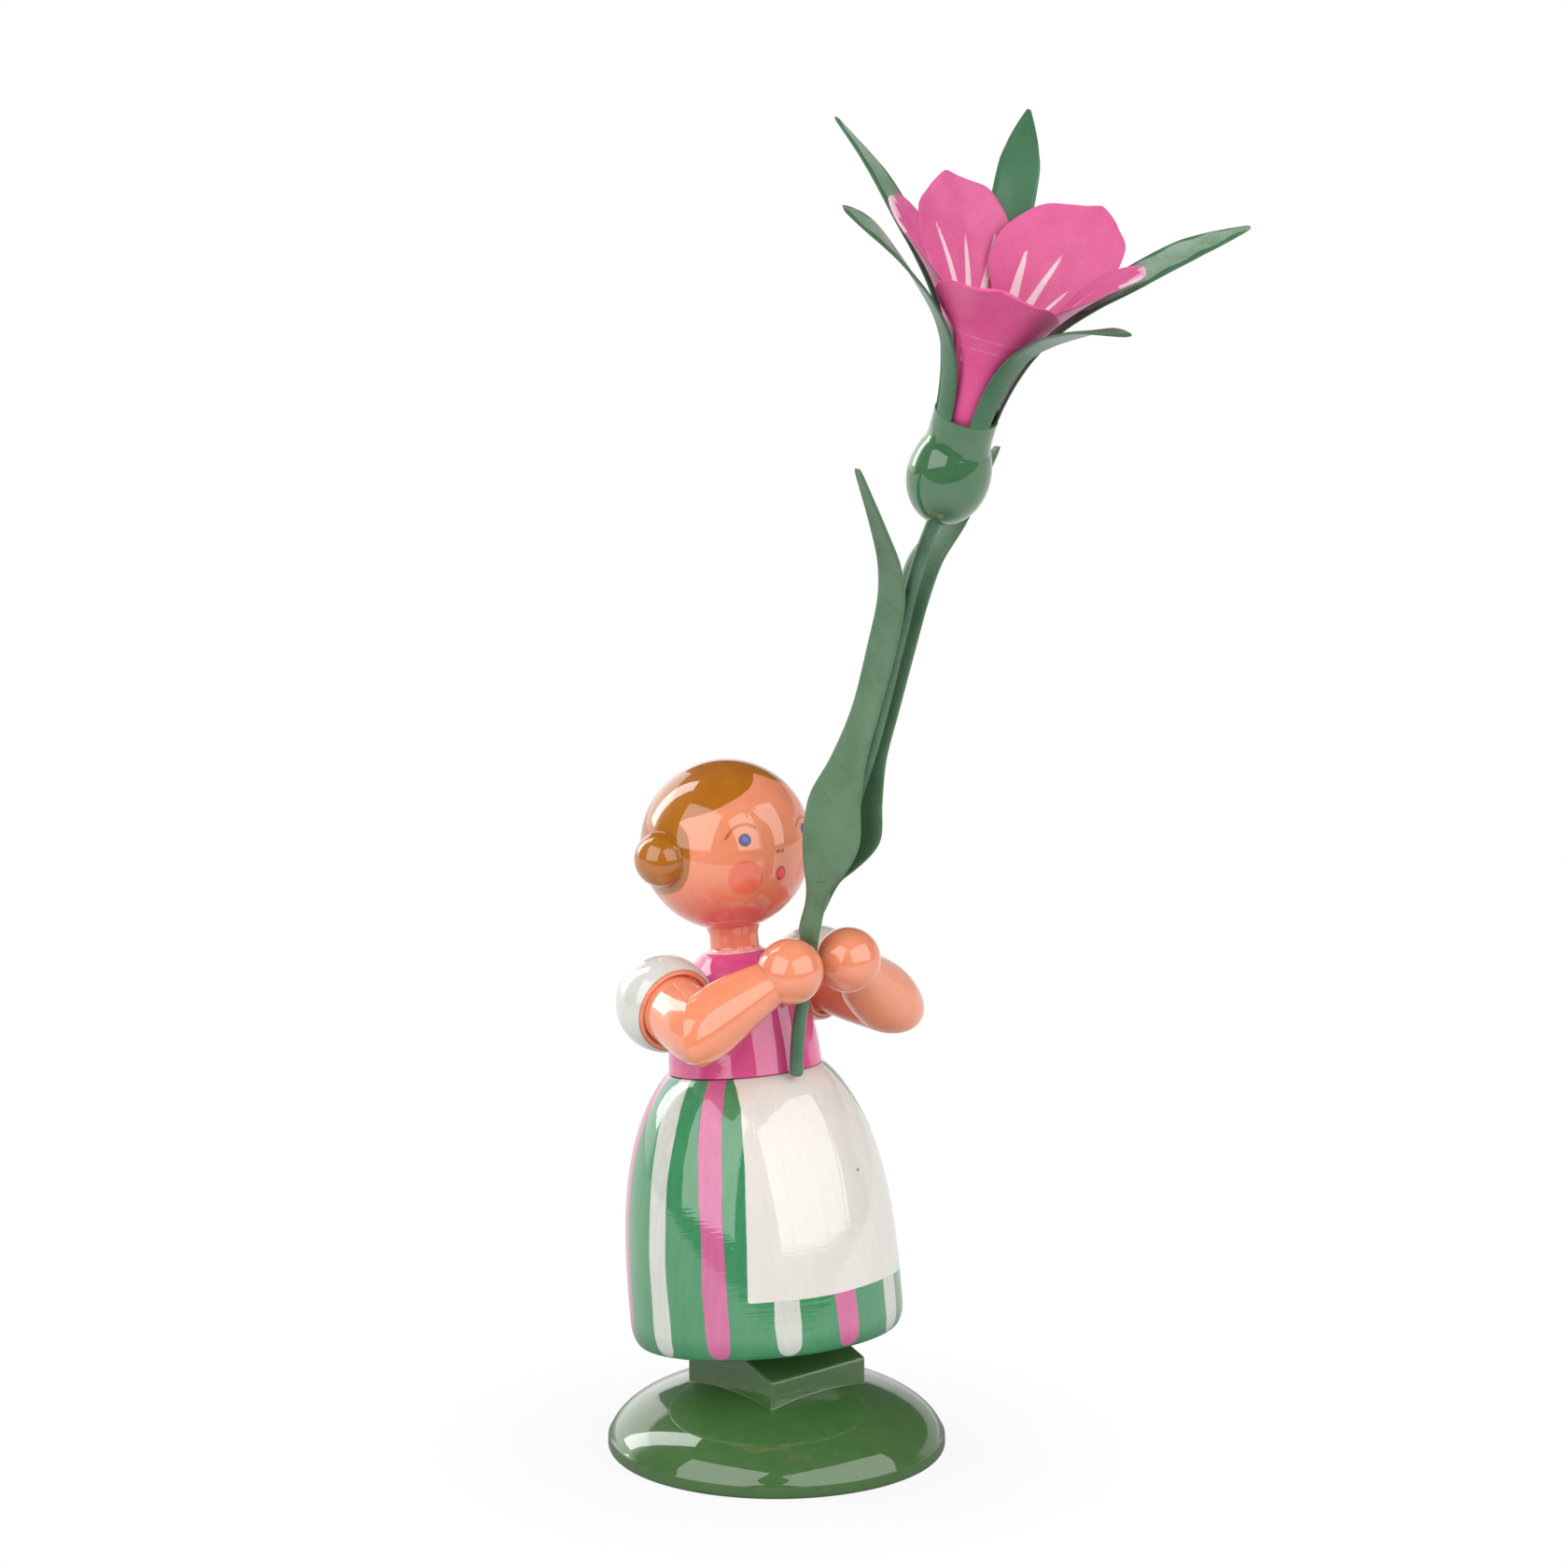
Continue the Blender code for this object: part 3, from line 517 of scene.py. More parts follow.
def rounded_square(half, corner):
    """480 points round a square of half width `half` whose corners are quarter circles."""
    t = np.linspace(0, 8, 480, endpoint=False)
    share = t % 2
    turn = np.clip(share - 1, 0, 1) * np.pi / 2
    inner = half - corner
    x = inner + corner * np.cos(turn)
    y = np.where(share < 1, (share * 2 - 1) * inner, inner + corner * np.sin(turn))
    angle = np.floor(t / 2) * np.pi / 2
    return np.stack([x * np.cos(angle) - y * np.sin(angle), x * np.sin(angle) + y * np.cos(angle)], axis=-1)


def block_top(outline):
    """Height of the sawn top: the lower of the skirt's underside, a, and the front slope, b.

    Their edge is rounded by half of (a + b - sqrt((a - b)^2 + 0.12^2)).
    """
    x, y = outline.T
    under = BODY @ Vector((0, 0, SKIRT_FOOT - 0.06))
    normal = BODY.to_3x3() @ Vector((0, 0, 1))
    back = under.z - (normal.x * (x - under.x) + normal.y * (y - under.y)) / normal.z
    front = SEAT + FRONT_HEIGHT + math.tan(FRONT_SLOPE) * (y + HALF)
    return (back + front - np.sqrt((back - front) ** 2 + 0.12**2)) / 2


def foot_ring(turn):
    """A ring of the bead: a quarter circle from the dome's ellipse to the block's side."""
    outwards, upwards = BEAD * (1 - math.sin(turn)), BEAD * (1 - math.cos(turn))
    outline = rounded_square(HALF + outwards, WORN_EDGE + outwards)
    dome_there = DOME_FOOT + DOME_HEIGHT * np.sqrt(1 - (np.hypot(*outline.T) / BASE_RADIUS) ** 2)
    return np.column_stack([outline, dome_there - 0.04 + upwards])


quarter = np.linspace(0, np.pi / 2, 9)
rings = [foot_ring(turn) for turn in quarter]
outline = rounded_square(HALF, WORN_EDGE)
foot, top = rings[-1][:, 2], block_top(outline) - WORN_EDGE
for share in np.linspace(0, 1, 24)[1:]:
    rings.append(np.column_stack([outline, foot * (1 - share) + top * share]))
for turn in quarter[1:]:
    line = rounded_square(HALF - WORN_EDGE * (1 - math.cos(turn)), max(WORN_EDGE * math.cos(turn), TIGHT))
    rings.append(np.column_stack([line, block_top(line) - WORN_EDGE * (1 - math.sin(turn))]))
for share in np.linspace(1, 0.02, 44)[1:]:
    line = rounded_square((HALF - WORN_EDGE) * share, TIGHT * share)
    rings.append(np.column_stack([line, block_top(line)]))
dress("base_block", np.array(rings), base_paint)

# %% [markdown]
# A plain dowel holds disc, block and skirt together. It is never seen, so its solid stays as it
# is and only gets bare wood: rings of noise stretched along the grain.

# %% Bare wood of the peg
wood, tree, shader, where = new_material("bare dowel wood")
grain = noise(tree, stretched(tree, where, (1800, 1800, 90)), 1.0, 4.0, 0.6)
plug(
    tree,
    shader,
    Base_Color=blend_colours(tree, grain, *DOWEL),
    Roughness=ranged(tree, grain, 0.2, 0.8, 0.55, 0.7),
    Normal=bump(tree, grain, 0.03 * MM, 0.6),
)
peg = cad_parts["base_peg"]
peg.data.materials.clear()
peg.data.materials.append(wood)
print("the peg is bare wood")

# %% [markdown]
# ## Skirt
# The skirt is a turned bell: steep at the waist, nearly straight at the hem. Its radius grows by
# (1 - (1 - s)^3)^0.81, with s the part of the way down. Twelve stripes run down it, white and
# pink in turn, each drawn in one pull of the brush, so they wobble, keep about the same width and
# end round just above the hem. A white apron lies over them in front.

# %% The bell's profile
HEM_RADIUS, HEM_ROUNDING, HEM_HEIGHT = 12.35, 0.95, 2.2
down = np.linspace(0, 1, 200) ** 1.6
bell_radius = WAIST_RADIUS + (HEM_RADIUS - WAIST_RADIUS) * (1 - (1 - down) ** 3) ** 0.81
bell = np.column_stack([bell_radius, WAIST - (SKIRT_HEIGHT - HEM_HEIGHT) * down])
hem = arc((HEM_RADIUS - HEM_ROUNDING, SKIRT_FOOT + HEM_HEIGHT), (HEM_ROUNDING, HEM_HEIGHT), 0, -90, 24)
skirt_profile = join((5.5, WAIST), bell, hem[1:], (CORE, SKIRT_FOOT))
skirt_rings = turned(evenly(skirt_profile, 0.19), 380)
turn, radius = facing(skirt_rings)
above_hem = skirt_rings[..., 2] - SKIRT_FOOT
print("skirt rings", skirt_rings.shape)

# %% [markdown]
# The distance to a stripe is measured round the skirt in millimetres. Past its lower end it is
# measured from the middle of a half circle, which rounds the end. The apron has a rounded lower
# corner at each side, and one small chip.

# %% Stripes and apron as distances
STRIPES = {
    "white_stripes": ((-153, 1.2), (-90.3, 0.0), (-32.4, 2.1), (23.2, 4.0), (83, 5.2), (146, 0.7)),
    "pink_stripes": ((-122, 3.3), (-62, 1.0), (-5.6, 5.0), (53, 2.6), (114, 4.4), (177, 0.2)),
}


def stripe_distance(middle, phase):
    """Distance to the edge of one stripe, below zero in it, from its turn and a wobble."""
    drift = 0.09 * np.sin(0.3 * above_hem + phase) + 0.03 * np.sin(0.9 * above_hem + 2 * phase)
    across = np.radians((turn - middle + 180) % 360 - 180) * radius + drift
    half_width = np.interp(above_hem, (0, 3, 11, 20, 22.5, 24.4), (1.0, 1.17, 1.07, 1.13, 1.03, 0.8))
    half_width = half_width + 0.03 * np.sin(0.7 * above_hem + 3 * phase)
    past_end = np.clip(0.15 + half_width - above_hem, 0, None)
    distance = np.hypot(across, past_end) - half_width
    return np.where(radius < 10, np.where(above_hem < 2, 1.0, distance), distance)


skirt_marks = {
    label: np.min([stripe_distance(*stripe) for stripe in stripes], axis=0)
    for label, stripes in STRIPES.items()
}

APRON_RIGHT = ((5.0, 48.4), (12, 46.4), (17.3, 45.1), (22.2, 45.7), (23.7, 48.1), (24.4, 50.5))
APRON_LEFT = ((5.0, 48.4), (12, 47.4), (17.0, 46), (19, 43), (21, 39.5), (23, 37), (24.4, 36))
edge_turn = np.where(
    turn < 0,
    np.interp(above_hem, *np.array(APRON_RIGHT).T),
    np.interp(above_hem, *np.array(APRON_LEFT).T),
)
beside = (np.abs(turn) - edge_turn) * np.radians(1) * radius
below = 5.2 + 0.05 * np.sin(turn / 9) - above_hem
APRON_CORNER, CHIP_RADIUS = 0.2, 0.17
apart = np.stack([beside, below]) + APRON_CORNER
apron = np.minimum(apart.max(axis=0), 0) + np.hypot(*np.clip(apart, 0, None)) - APRON_CORNER
chip = np.hypot(np.radians(turn - 12.5) * radius, above_hem - 15.35)
skirt_marks["apron"] = np.maximum(apron, CHIP_RADIUS - chip)
print("skirt marks:", list(skirt_marks))

# %% Skirt
skirt_paint = lacquered(
    "skirt lacquer",
    SKIRT_GREEN,
    [("white_stripes", *WHITE), ("pink_stripes", *STRIPE_PINK), ("apron", *APRON_WHITE)],
    strokes=(1500, 1500, 130),
    wave=0.014,
    rings=0.008,
)
dress("skirt", placed(skirt_rings, BODY), skirt_paint, skirt_marks)

# %% [markdown]
# ## Bodice
# One turned piece from the waist to the collar, with a shallow seat at each side where the ball
# of the sleeve is glued in. Points inside a sleeve's ball are pushed out to its surface, which
# leaves the same seat that a cutter would.

# %% Bodice with its sleeve seats
def pushed_out(points, centre, radius):
    """Moves the points that are inside a ball straight out to its surface."""
    away = points - np.array(centre)
    distance = np.maximum(np.linalg.norm(away, axis=-1, keepdims=True), 1e-6)
    return np.where(distance < radius, np.array(centre) + away * radius / distance, points)


side_points = [(2.9, COLLAR), (5.55, SHOULDER), (6.6, WAIST + 3.35), (WAIST_RADIUS, WAIST + 0.05)]
collar_rim = arc((2.55, COLLAR - 0.25), (0.35, 0.25), 90, 30, 6)
bodice_foot = ((5.5, WAIST + 0.03), (CORE, WAIST + 0.03))
bodice_profile = join((CORE, COLLAR), collar_rim, smooth_line(side_points, 120)[3:], bodice_foot)
bodice_rings = turned(evenly(bodice_profile, 0.19), 260)
for side, _ in SIDES:
    bodice_rings = pushed_out(bodice_rings, on_side(SLEEVE, side), SLEEVE_RADIUS + 0.02)
bodice_paint = lacquered("bodice lacquer", BODICE_PINK, strokes=(1200, 1200, 200), wave=0.012, rings=0.006)
dress("bodice", placed(bodice_rings, BODY), bodice_paint)

# %% [markdown]
# ## Neck and head
# The neck is a short dowel. Lacquer gathers in the corner at its foot, and a thin pale ring is
# painted there. The head is a ball. Everything on it is painted: two lobes of hair that part above
# the forehead, eyes, brows, a nose of two small marks, a mouth and round cheeks. It is a plain
# doll's face.

# %% Neck
flesh_paint = lacquered("flesh lacquer", FLESH, strokes=(500, 500, 500), wave=0.008)
neck_foot = arc((2.65, COLLAR + 0.5), (0.45, 0.45), -90, -180, 10)
neck_socket = ((CORE, COLLAR - 1.0), (2.2, COLLAR - 1.0), (2.65, COLLAR - 0.2))
neck_top = ((2.2, COLLAR + 1.6), (2.45, COLLAR + 2.3), (CORE, COLLAR + 3.4))
neck_rings = turned(evenly(join(neck_socket, neck_foot, neck_top), 0.1), 120)
# A thin pale ring is painted round the neck just above the collar.
neck_marks = {"pale_ring": np.abs(neck_rings[..., 2] - COLLAR - 0.12) - 0.14}
neck_paint = lacquered("neck lacquer", NECK_FLESH, [("pale_ring", *PALE_RING_PAINT)])
dress("neck", placed(neck_rings, BODY), neck_paint, neck_marks)

# %% [markdown]
# The hairline was read from the photograph as a few angles round the head and up it. A point of
# the ball is hair if it lies outside the closed line on that map of angles, which an odd or even
# count of crossings tells. The distance itself is measured in space, to a dense copy of the line.

# %% Head as a ball with a map of angles
def on_ball(turn_and_rise):
    """Points of the head's ball from turn and rise in degrees."""
    turn, rise = np.radians(np.asarray(turn_and_rise, dtype=float)).T
    out = HEAD_RADIUS * np.cos(rise)
    return np.stack([out * np.sin(turn), -out * np.cos(turn), HEAD_RADIUS * np.sin(rise)], axis=-1)


def distance_to_line(points, line):
    """Least distance from each point to any point of a dense line, in blocks to save memory."""
    flat = points.reshape(-1, 3)
    nearest = [
        np.sqrt(((block[:, None] - line[None]) ** 2).sum(axis=-1).min(axis=1))
        for block in np.array_split(flat, 24)
    ]
    return np.concatenate(nearest).reshape(points.shape[:-1])


def crossings(x, y, outline):
    """True inside a closed outline: a ray to the right crosses it an odd number of times."""
    odd = np.zeros(x.shape, dtype=bool)
    for (ax, ay), (bx, by) in zip(outline, np.roll(outline, -1, axis=0)):
        if ay != by:
            odd ^= ((ay > y) != (by > y)) & (x < (bx - ax) * (y - ay) / (by - ay) + ax)
    return odd


head_rings = turned(ball_profile(HEAD_RADIUS, 0.12), 400)
head_turn = facing(head_rings)[0]
head_rise = np.degrees(np.arcsin(np.clip(head_rings[..., 2] / HEAD_RADIUS, -1, 1)))
print("head rings", head_rings.shape)

# %% Hair and face as distances
HAIR_SIDE = (
    (180, -38), (150, -37), (128, -33.5), (112, -29), (99.2, -28.4), (85.8, -25.8), (78.5, -23.1),
    (71.5, -17), (67.3, -8), (65.7, 2.6), (66.9, 12.8),
)
FRINGE = (
    (-71, 18.6), (-74.2, 22), (-70, 24.2), (-56.4, 27), (-45.8, 29.9), (-37, 33.5), (-27.4, 37.3),
    (-16.8, 42.5), (-8.8, 47.2), (-1.5, 53), (3, 56.3), (9, 54), (13.2, 52.4), (20.9, 47.6),
    (34.4, 42.8), (45.8, 37), (56.4, 31), (66, 26.5), (71.5, 24), (74.2, 21.5), (71, 18),
)
BROWS = (
    ((-41, 9.6), (-37.5, 13.2), (-34.7, 15.7), (-30.2, 17.4), (-24.8, 17.4), (-19.8, 14.9)),
    ((16.5, 11.4), (19.5, 14), (24, 15.9), (30, 15.8), (36, 13.2), (40, 9)),
)
mirrored_side = [(-turn, rise) for turn, rise in HAIR_SIDE]
hairline = smooth_line([*mirrored_side, *FRINGE, *HAIR_SIDE[::-1]], 420)
face_outline = np.vstack([hairline, [(180, -95), (-180, -95)]])
hair_edge = distance_to_line(head_rings, on_ball(hairline))
is_face = crossings(head_turn, head_rise, face_outline)
brow_lines = [on_ball(smooth_line(brow, 60)) for brow in BROWS]


def spot(turn, rise):
    """Distance from one point of the face."""
    return np.linalg.norm(head_rings - on_ball([(turn, rise)])[0], axis=-1)


def oval(turn, rise, wide, tall, tilt):
    """Distance to an oval on the face, from its own axes laid in the ball's surface."""
    centre = on_ball([(turn, rise)])[0]
    right = np.array([math.cos(math.radians(turn)), math.sin(math.radians(turn)), 0])
    up = np.cross(right, centre / HEAD_RADIUS)
    away = head_rings - centre
    a, b = away @ right, away @ up
    x = a * math.cos(tilt) + b * math.sin(tilt)
    y = b * math.cos(tilt) - a * math.sin(tilt)
    behind = np.where(away @ (centre / HEAD_RADIUS) < -3, 9.0, 0.0)
    return (np.hypot(x / wide, y / tall) - 1) * min(wide, tall) + behind


eye = np.minimum(spot(-28, 7.6), spot(26, 7.8))
head_marks = {
    "hair": np.where(is_face, hair_edge, -hair_edge),
    # Painted light: below the middle of the head the flesh fades to a redder shade, for the pink glow that
    # the bodice throws up under the chin.
    "chin_bounce_light": head_rings[..., 2] + 4.4,
    "cheeks": np.minimum(spot(-29.2, -18.2), spot(29.2, -18.2)) - 1.6,
    "brows": np.minimum(*[distance_to_line(head_rings, line) for line in brow_lines]) - 0.145,
    "eye_rings": eye - 0.57,
    "irises": eye - 0.27,
    "nose": np.minimum(spot(-4.4, -2.8), spot(-0.9, -2.9)) - 0.21,
    "mouth": oval(-1.7, -18, 0.56, 0.72, -0.3),
    "lips": oval(-1.6, -17.8, 0.32, 0.46, -0.3),
}

# %% Head
head_paint = lacquered(
    "head lacquer",
    FLESH,
    [
        ("chin_bounce_light", *PINK_BOUNCE_LIGHT, 4.0),
        ("cheeks", *CHEEK),
        ("hair", *HAIR),
        ("brows", *BROW),
        ("eye_rings", *EYE_RING),
        ("irises", *IRIS),
        ("nose", *NOSE),
        ("mouth", *MOUTH),
        ("lips", *LIPS),
    ],
    strokes=(420, 420, 420),
    ragged=0.02,
    wave=0.008,
)
head_place = BODY @ Matrix.Translation((0, 0, HEAD))
dress("head", placed(head_rings, head_place), head_paint, head_marks)

# %% [markdown]
# The two buns are small balls glued on at the ears. Where a bun would sink into the head, its
# points are pushed out to the head's surface, so that it sits on it like a cap.

# %% Hair buns
hair_paint = lacquered("hair lacquer", HAIR, strokes=(420, 420, 420), wave=0.008)
BUN_RADIUS, BUN_REACH = 2.52, HEAD_RADIUS - 0.28
turn, drop = math.radians(91.5), math.radians(2.5)
level = math.cos(drop) * BUN_REACH
for side, word in SIDES:
    offset = (side * math.sin(turn) * level, -math.cos(turn) * level, -math.sin(drop) * BUN_REACH)
    bun = turned(ball_profile(BUN_RADIUS, 0.12), 140) + np.array(offset)
    bun = pushed_out(bun, (0, 0, 0), HEAD_RADIUS + 0.03)
    dress(f"hair_bun_{word}", placed(bun, head_place), hair_paint)

# %% [markdown]
# ## Arms
# A sleeve is a ball sawn flat at its mouth. A ring of flesh paint runs round in the mouth, inside
# the white rim, and the arm comes out of it. The hand is a ball, and the forearm ends in a hollow
# that fits it. Her right elbow was glued a little higher than her left one.

# %% Sleeve: rounded white rim, a narrow groove, a raised ring, a flat floor
SLEEVE_CUT, SLEEVE_FLOOR, RING_EDGE = 1.9, 1.62, 3.77
rim_radius = math.sqrt(SLEEVE_RADIUS**2 - SLEEVE_CUT**2)
rim_angle = math.degrees(math.asin(SLEEVE_CUT / SLEEVE_RADIUS)) - 2
outside = arc((0, 0), (SLEEVE_RADIUS, SLEEVE_RADIUS), -89.5, rim_angle, 90)
lip = arc((rim_radius - 0.1, 1.78), (0.1, 0.12), 20, 165, 10)
raised = arc((3.5, 1.7), (0.24, 0.34), 0, 175, 16)
sleeve_profile = join(outside, lip, raised, (3.2, SLEEVE_FLOOR), (CORE, 1.6))
sleeve_rings = turned(evenly(sleeve_profile, 0.1), 200)
ring_distance = facing(sleeve_rings)[1] - RING_EDGE
sleeve_marks = {"arm_ring": np.where(sleeve_rings[..., 2] > 1.3, ring_distance, 1.0)}
print("sleeve rings", sleeve_rings.shape)

# %% [markdown]
# Upper arm and forearm meet in a mitre. The radius of each is read by how far a point is from the
# mitre's plane, so both rods have the same outline on it. With w the cosine of the angle from the
# outer side and s the distance from the plane, the outer corner is rounded by 0.8 w (1 - s/2.2)^2.
# The forearm's hollow is an arc of the hand's own radius.

# %% Mitred rods
ARM_RADIUS, WRIST_RADIUS, SAW_GAP = 3.1, 1.88, 0.003
UPPER_ARM = ((0, ARM_RADIUS), (1.5, 3.12), (3.5, 3.16), (5.2, 3.14), (8, 3.1))
FOREARM = ((0, ARM_RADIUS), (1.1, 3.06), (2.6, 2.9), (4.0, 2.65), (6.0, 2.25), (8.0, 1.9), (9, 1.84))


def mitred_rod(direction, heights, radii, elbow, mitre, outer):
    """Rings round an axis through the elbow, at heights along the direction from it."""
    frame_there = np.array(along_axis(elbow, direction).to_3x3())
    angle = np.linspace(0, 2 * np.pi, 180, endpoint=False)
    way = np.outer(np.cos(angle), frame_there[:, 0]) + np.outer(np.sin(angle), frame_there[:, 1])
    middle = (np.array(elbow) + np.outer(heights, np.array(direction)))[:, None]
    slant = abs(direction.dot(mitre))
    radius = np.full((len(heights), len(angle)), ARM_RADIUS)
    for _ in range(5):
        away = np.abs((middle + way * radius[..., None] - np.array(elbow)) @ np.array(mitre))
        radius = np.interp(away / slant, *np.array(radii).T)
    rounding = 0.8 * np.clip(1 - away / 2.2, 0, 1) ** 2 * np.clip(way @ np.array(outer), 0, 1)
    return middle + way * (radius - rounding)[..., None]


# %% Both arms
arm_ring = [("arm_ring", *FLESH)]
sleeve_paint = lacquered("sleeve lacquer", SLEEVE_WHITE, arm_ring, strokes=(500, 500, 500), wave=0.012)
for side, word in SIDES:
    slip = Vector((0, 0, ELBOW_SLIP * side))
    points = (on_side(SLEEVE, side), on_side(ELBOW, side) - slip, on_side(HAND, side))
    shoulder, elbow, hand = (BODY @ point for point in points)
    mouth = (BODY.to_3x3() @ on_side(SLEEVE_MOUTH, side)).normalized()
    upper, lower = (elbow - shoulder).normalized(), (hand - elbow).normalized()
    mitre, outer = (upper + lower).normalized(), (upper - lower).normalized()
    reach = (hand - elbow).length

    sleeve = placed(sleeve_rings, along_axis(shoulder, mouth))
    dress(f"sleeve_{word}", sleeve, sleeve_paint, sleeve_marks)

    heights = np.arange(-(elbow - shoulder).length - 0.4, 4.2, 0.14)
    rings = mitred_rod(upper, heights, UPPER_ARM, elbow, mitre, outer)
    cuts = [(elbow - mitre * SAW_GAP, mitre), (shoulder + mouth * SLEEVE_FLOOR, -mouth)]
    dress(f"upper_arm_{word}", rings, flesh_paint, cuts=cuts)

    wrist = reach - math.sqrt(HAND_RADIUS**2 - WRIST_RADIUS**2)
    heights = np.append(np.arange(-4.2, wrist - 0.05, 0.14), wrist)
    rings = mitred_rod(lower, heights, FOREARM, elbow, mitre, outer)
    hollow = turned(arc((0, reach), (HAND_RADIUS, HAND_RADIUS), -49.5, -89.5, 24)[1:], 180)
    rings = np.concatenate([rings, placed(hollow, along_axis(elbow, lower))])
    dress(f"forearm_{word}", rings, flesh_paint, cuts=[(elbow + mitre * SAW_GAP, -mitre)])

    rings = turned(ball_profile(HAND_RADIUS, 0.14), 160)
    dress(f"hand_{word}", placed(rings, along_axis(hand, lower)), flesh_paint)

# %% [markdown]
# ## Stem and leaves
# The stem is one bent rod. Its rings stand square to a smooth curve: one side of a ring is the
# curve's direction crossed with X, and the other is the direction crossed with that side.

# %% Stem
STEM_ROUTE = (
    (-0.75, 1.9, -6.1), (-0.15, 1.4, -1.1), (0, 0.6, 3.9), (0, -3.2, 12.4), (0, -6.8, 20.9),
    (0, -9.9, 29.9), (0, -12.4, 37.2),
)


def tube(line, radius, around):
    """Rings square to a line: p + r (cos a) u + r (sin a) v, with u and v square to its direction."""
    direction = np.gradient(line, axis=0)
    direction = direction / np.linalg.norm(direction, axis=1, keepdims=True)
    u = np.cross(direction, (1, 0, 0))
    u = u / np.linalg.norm(u, axis=1, keepdims=True)
    v = np.cross(direction, u)
    angle = np.linspace(0, 2 * np.pi, around, endpoint=False)[None, :, None]
    reach = np.asarray(radius).reshape(-1, 1, 1)
    return line[:, None] + reach * (np.cos(angle) * u[:, None] + np.sin(angle) * v[:, None])


ROUNDED_END = 0.45
stem_foot = BODY @ Vector((-1.15, -(WAIST_RADIUS + STEM_RADIUS + 0.5), WAIST - 0.2))
stem_end = FLOWER @ Vector((0, 0, BULB_MIDDLE - BULB_DROP + 1.2))
route = [tuple(stem_foot), *[tuple(GRIP + Vector(point)) for point in STEM_ROUTE], tuple(stem_end)]
stem_line = evenly(smooth_line(route, 900), 0.16)
from_end = np.minimum(length_along(stem_line), ROUNDED_END)
stem_radius = STEM_RADIUS * (0.55 + 0.45 * np.sqrt(1 - (1 - from_end / ROUNDED_END) ** 2))
stem_paint = sheet("stem paint", *STEM_GREEN, grain=0.04, creases=0.0, varnish=0.5, blur=0.3)
dress("stem", tube(stem_line, stem_radius, 36), stem_paint)

# %% [markdown]
# ### Thin blades
# Leaves, petals and sepals are thin sheets. A blade starts as a middle surface over two numbers,
# along and across. Each ring goes over the upper side and back along the under side, half the
# thickness away along the surface's normal. Near the edges the thickness closes by
# sqrt(1 - |across|^10), which rounds them.

# %% Blades from a middle surface
ACROSS = np.sin(np.linspace(-np.pi / 2, np.pi / 2, 61))


def both_sides(upper, under):
    """Values on the middle surface, as they fall on a ring's upper and then its under side."""
    return np.concatenate([upper, under[:, -2:0:-1]], axis=1)


def blade_rings(middle, thickness, up):
    """Closed rings round a middle surface whose upper side faces up."""
    normal = np.cross(np.gradient(middle, axis=0), np.gradient(middle, axis=1))
    normal = normal / np.maximum(np.linalg.norm(normal, axis=-1, keepdims=True), 1e-9)
    if (normal @ np.array(up)).mean() < 0:
        normal = -normal
    wall = thickness / 2 * np.sqrt(np.clip(1 - np.abs(ACROSS) ** 10, 0, 1))
    near_tip = np.clip((np.linspace(0, 1, len(middle)) - 0.985) / 0.015, 0, 1)
    close = np.sqrt(np.clip(1 - near_tip**2, 0.04, 1))
    offset = normal * (wall[None, :] * close[:, None])[..., None]
    return both_sides(middle + offset, middle - offset)


print("columns across a blade:", len(ACROSS))

# %% [markdown]
# The leaves stand on edge beside the stem and lean out near the top. Each station gives a height
# above the hands, the middle's place, the width, and how far it stands off the stem.

# %% Leaves
LEAF_STATIONS = {
    "right": (
        (-1.5, 1.5, 0.9, 0), (-0.9, 1.3, 2.4, 0), (0.5, 0.7, 3.1, 0), (3, -0.2, 3.1, 0), (6.1, -1.9, 5.4, 0),
        (9.1, -2.9, 7.25, 0), (12.5, -3.35, 6.6, 0), (16.4, -5, 4.45, 0), (21, -7.1, 3.5, 0),
        (26.8, -9.15, 3.6, 0), (31, -10.5, 3.4, 0.25), (34.1, -11.4, 2.85, 1.35), (37.5, -12.55, 1.95, 3.7),
        (43, -13.1, 0.6, 6.8),
    ),
    "left": (
        (1.6, 0.8, 0.3, 0), (3.0, 0.3, 0.7, 0), (4.6, -0.5, 1.9, 0), (6.1, -1.6, 3.8, 0),
        (9.1, -2.9, 7.0, 0), (12.5, -3.35, 6.6, 0), (16.4, -5, 4.45, 0), (21, -7.1, 3.5, 0),
        (26.8, -9.0, 3.8, 0), (31, -10.2, 4.0, 0.25), (34.1, -10.7, 4.2, 1.2), (37.5, -11.9, 3.3, 3.4),
        (43.6, -13.3, 0.7, 7.3),
    ),
}
LEAF_THICKNESS, SHEATH_HEIGHT = 0.35, 7.0
CREASES = (
    ((13.4, 0.6), (11.5, -0.2)), ((28.6, 1.0), (27.3, 0.2)), ((31.0, 0.3), (29.8, -0.8)),
    ((24.0, 1.0), (23.0, 0.5)), ((19.7, 1.0), (18.9, 0.5)), ((15.9, 0.4), (15.1, -0.3)),
    ((5.2, -0.3), (4.7, 0.5)), ((34.6, 0.9), (33.8, 0.0)),
)
# The short creases are painted a darker green, a painted shade in the folds, and raised a little.
crease_shade_layers = [("creases", *LEAF_CREASE_SHADE)]
leaf_paint = sheet("leaf paint", *LEAF_GREEN, crease_shade_layers, creases=0.008, varnish=0.35, blur=0.22)


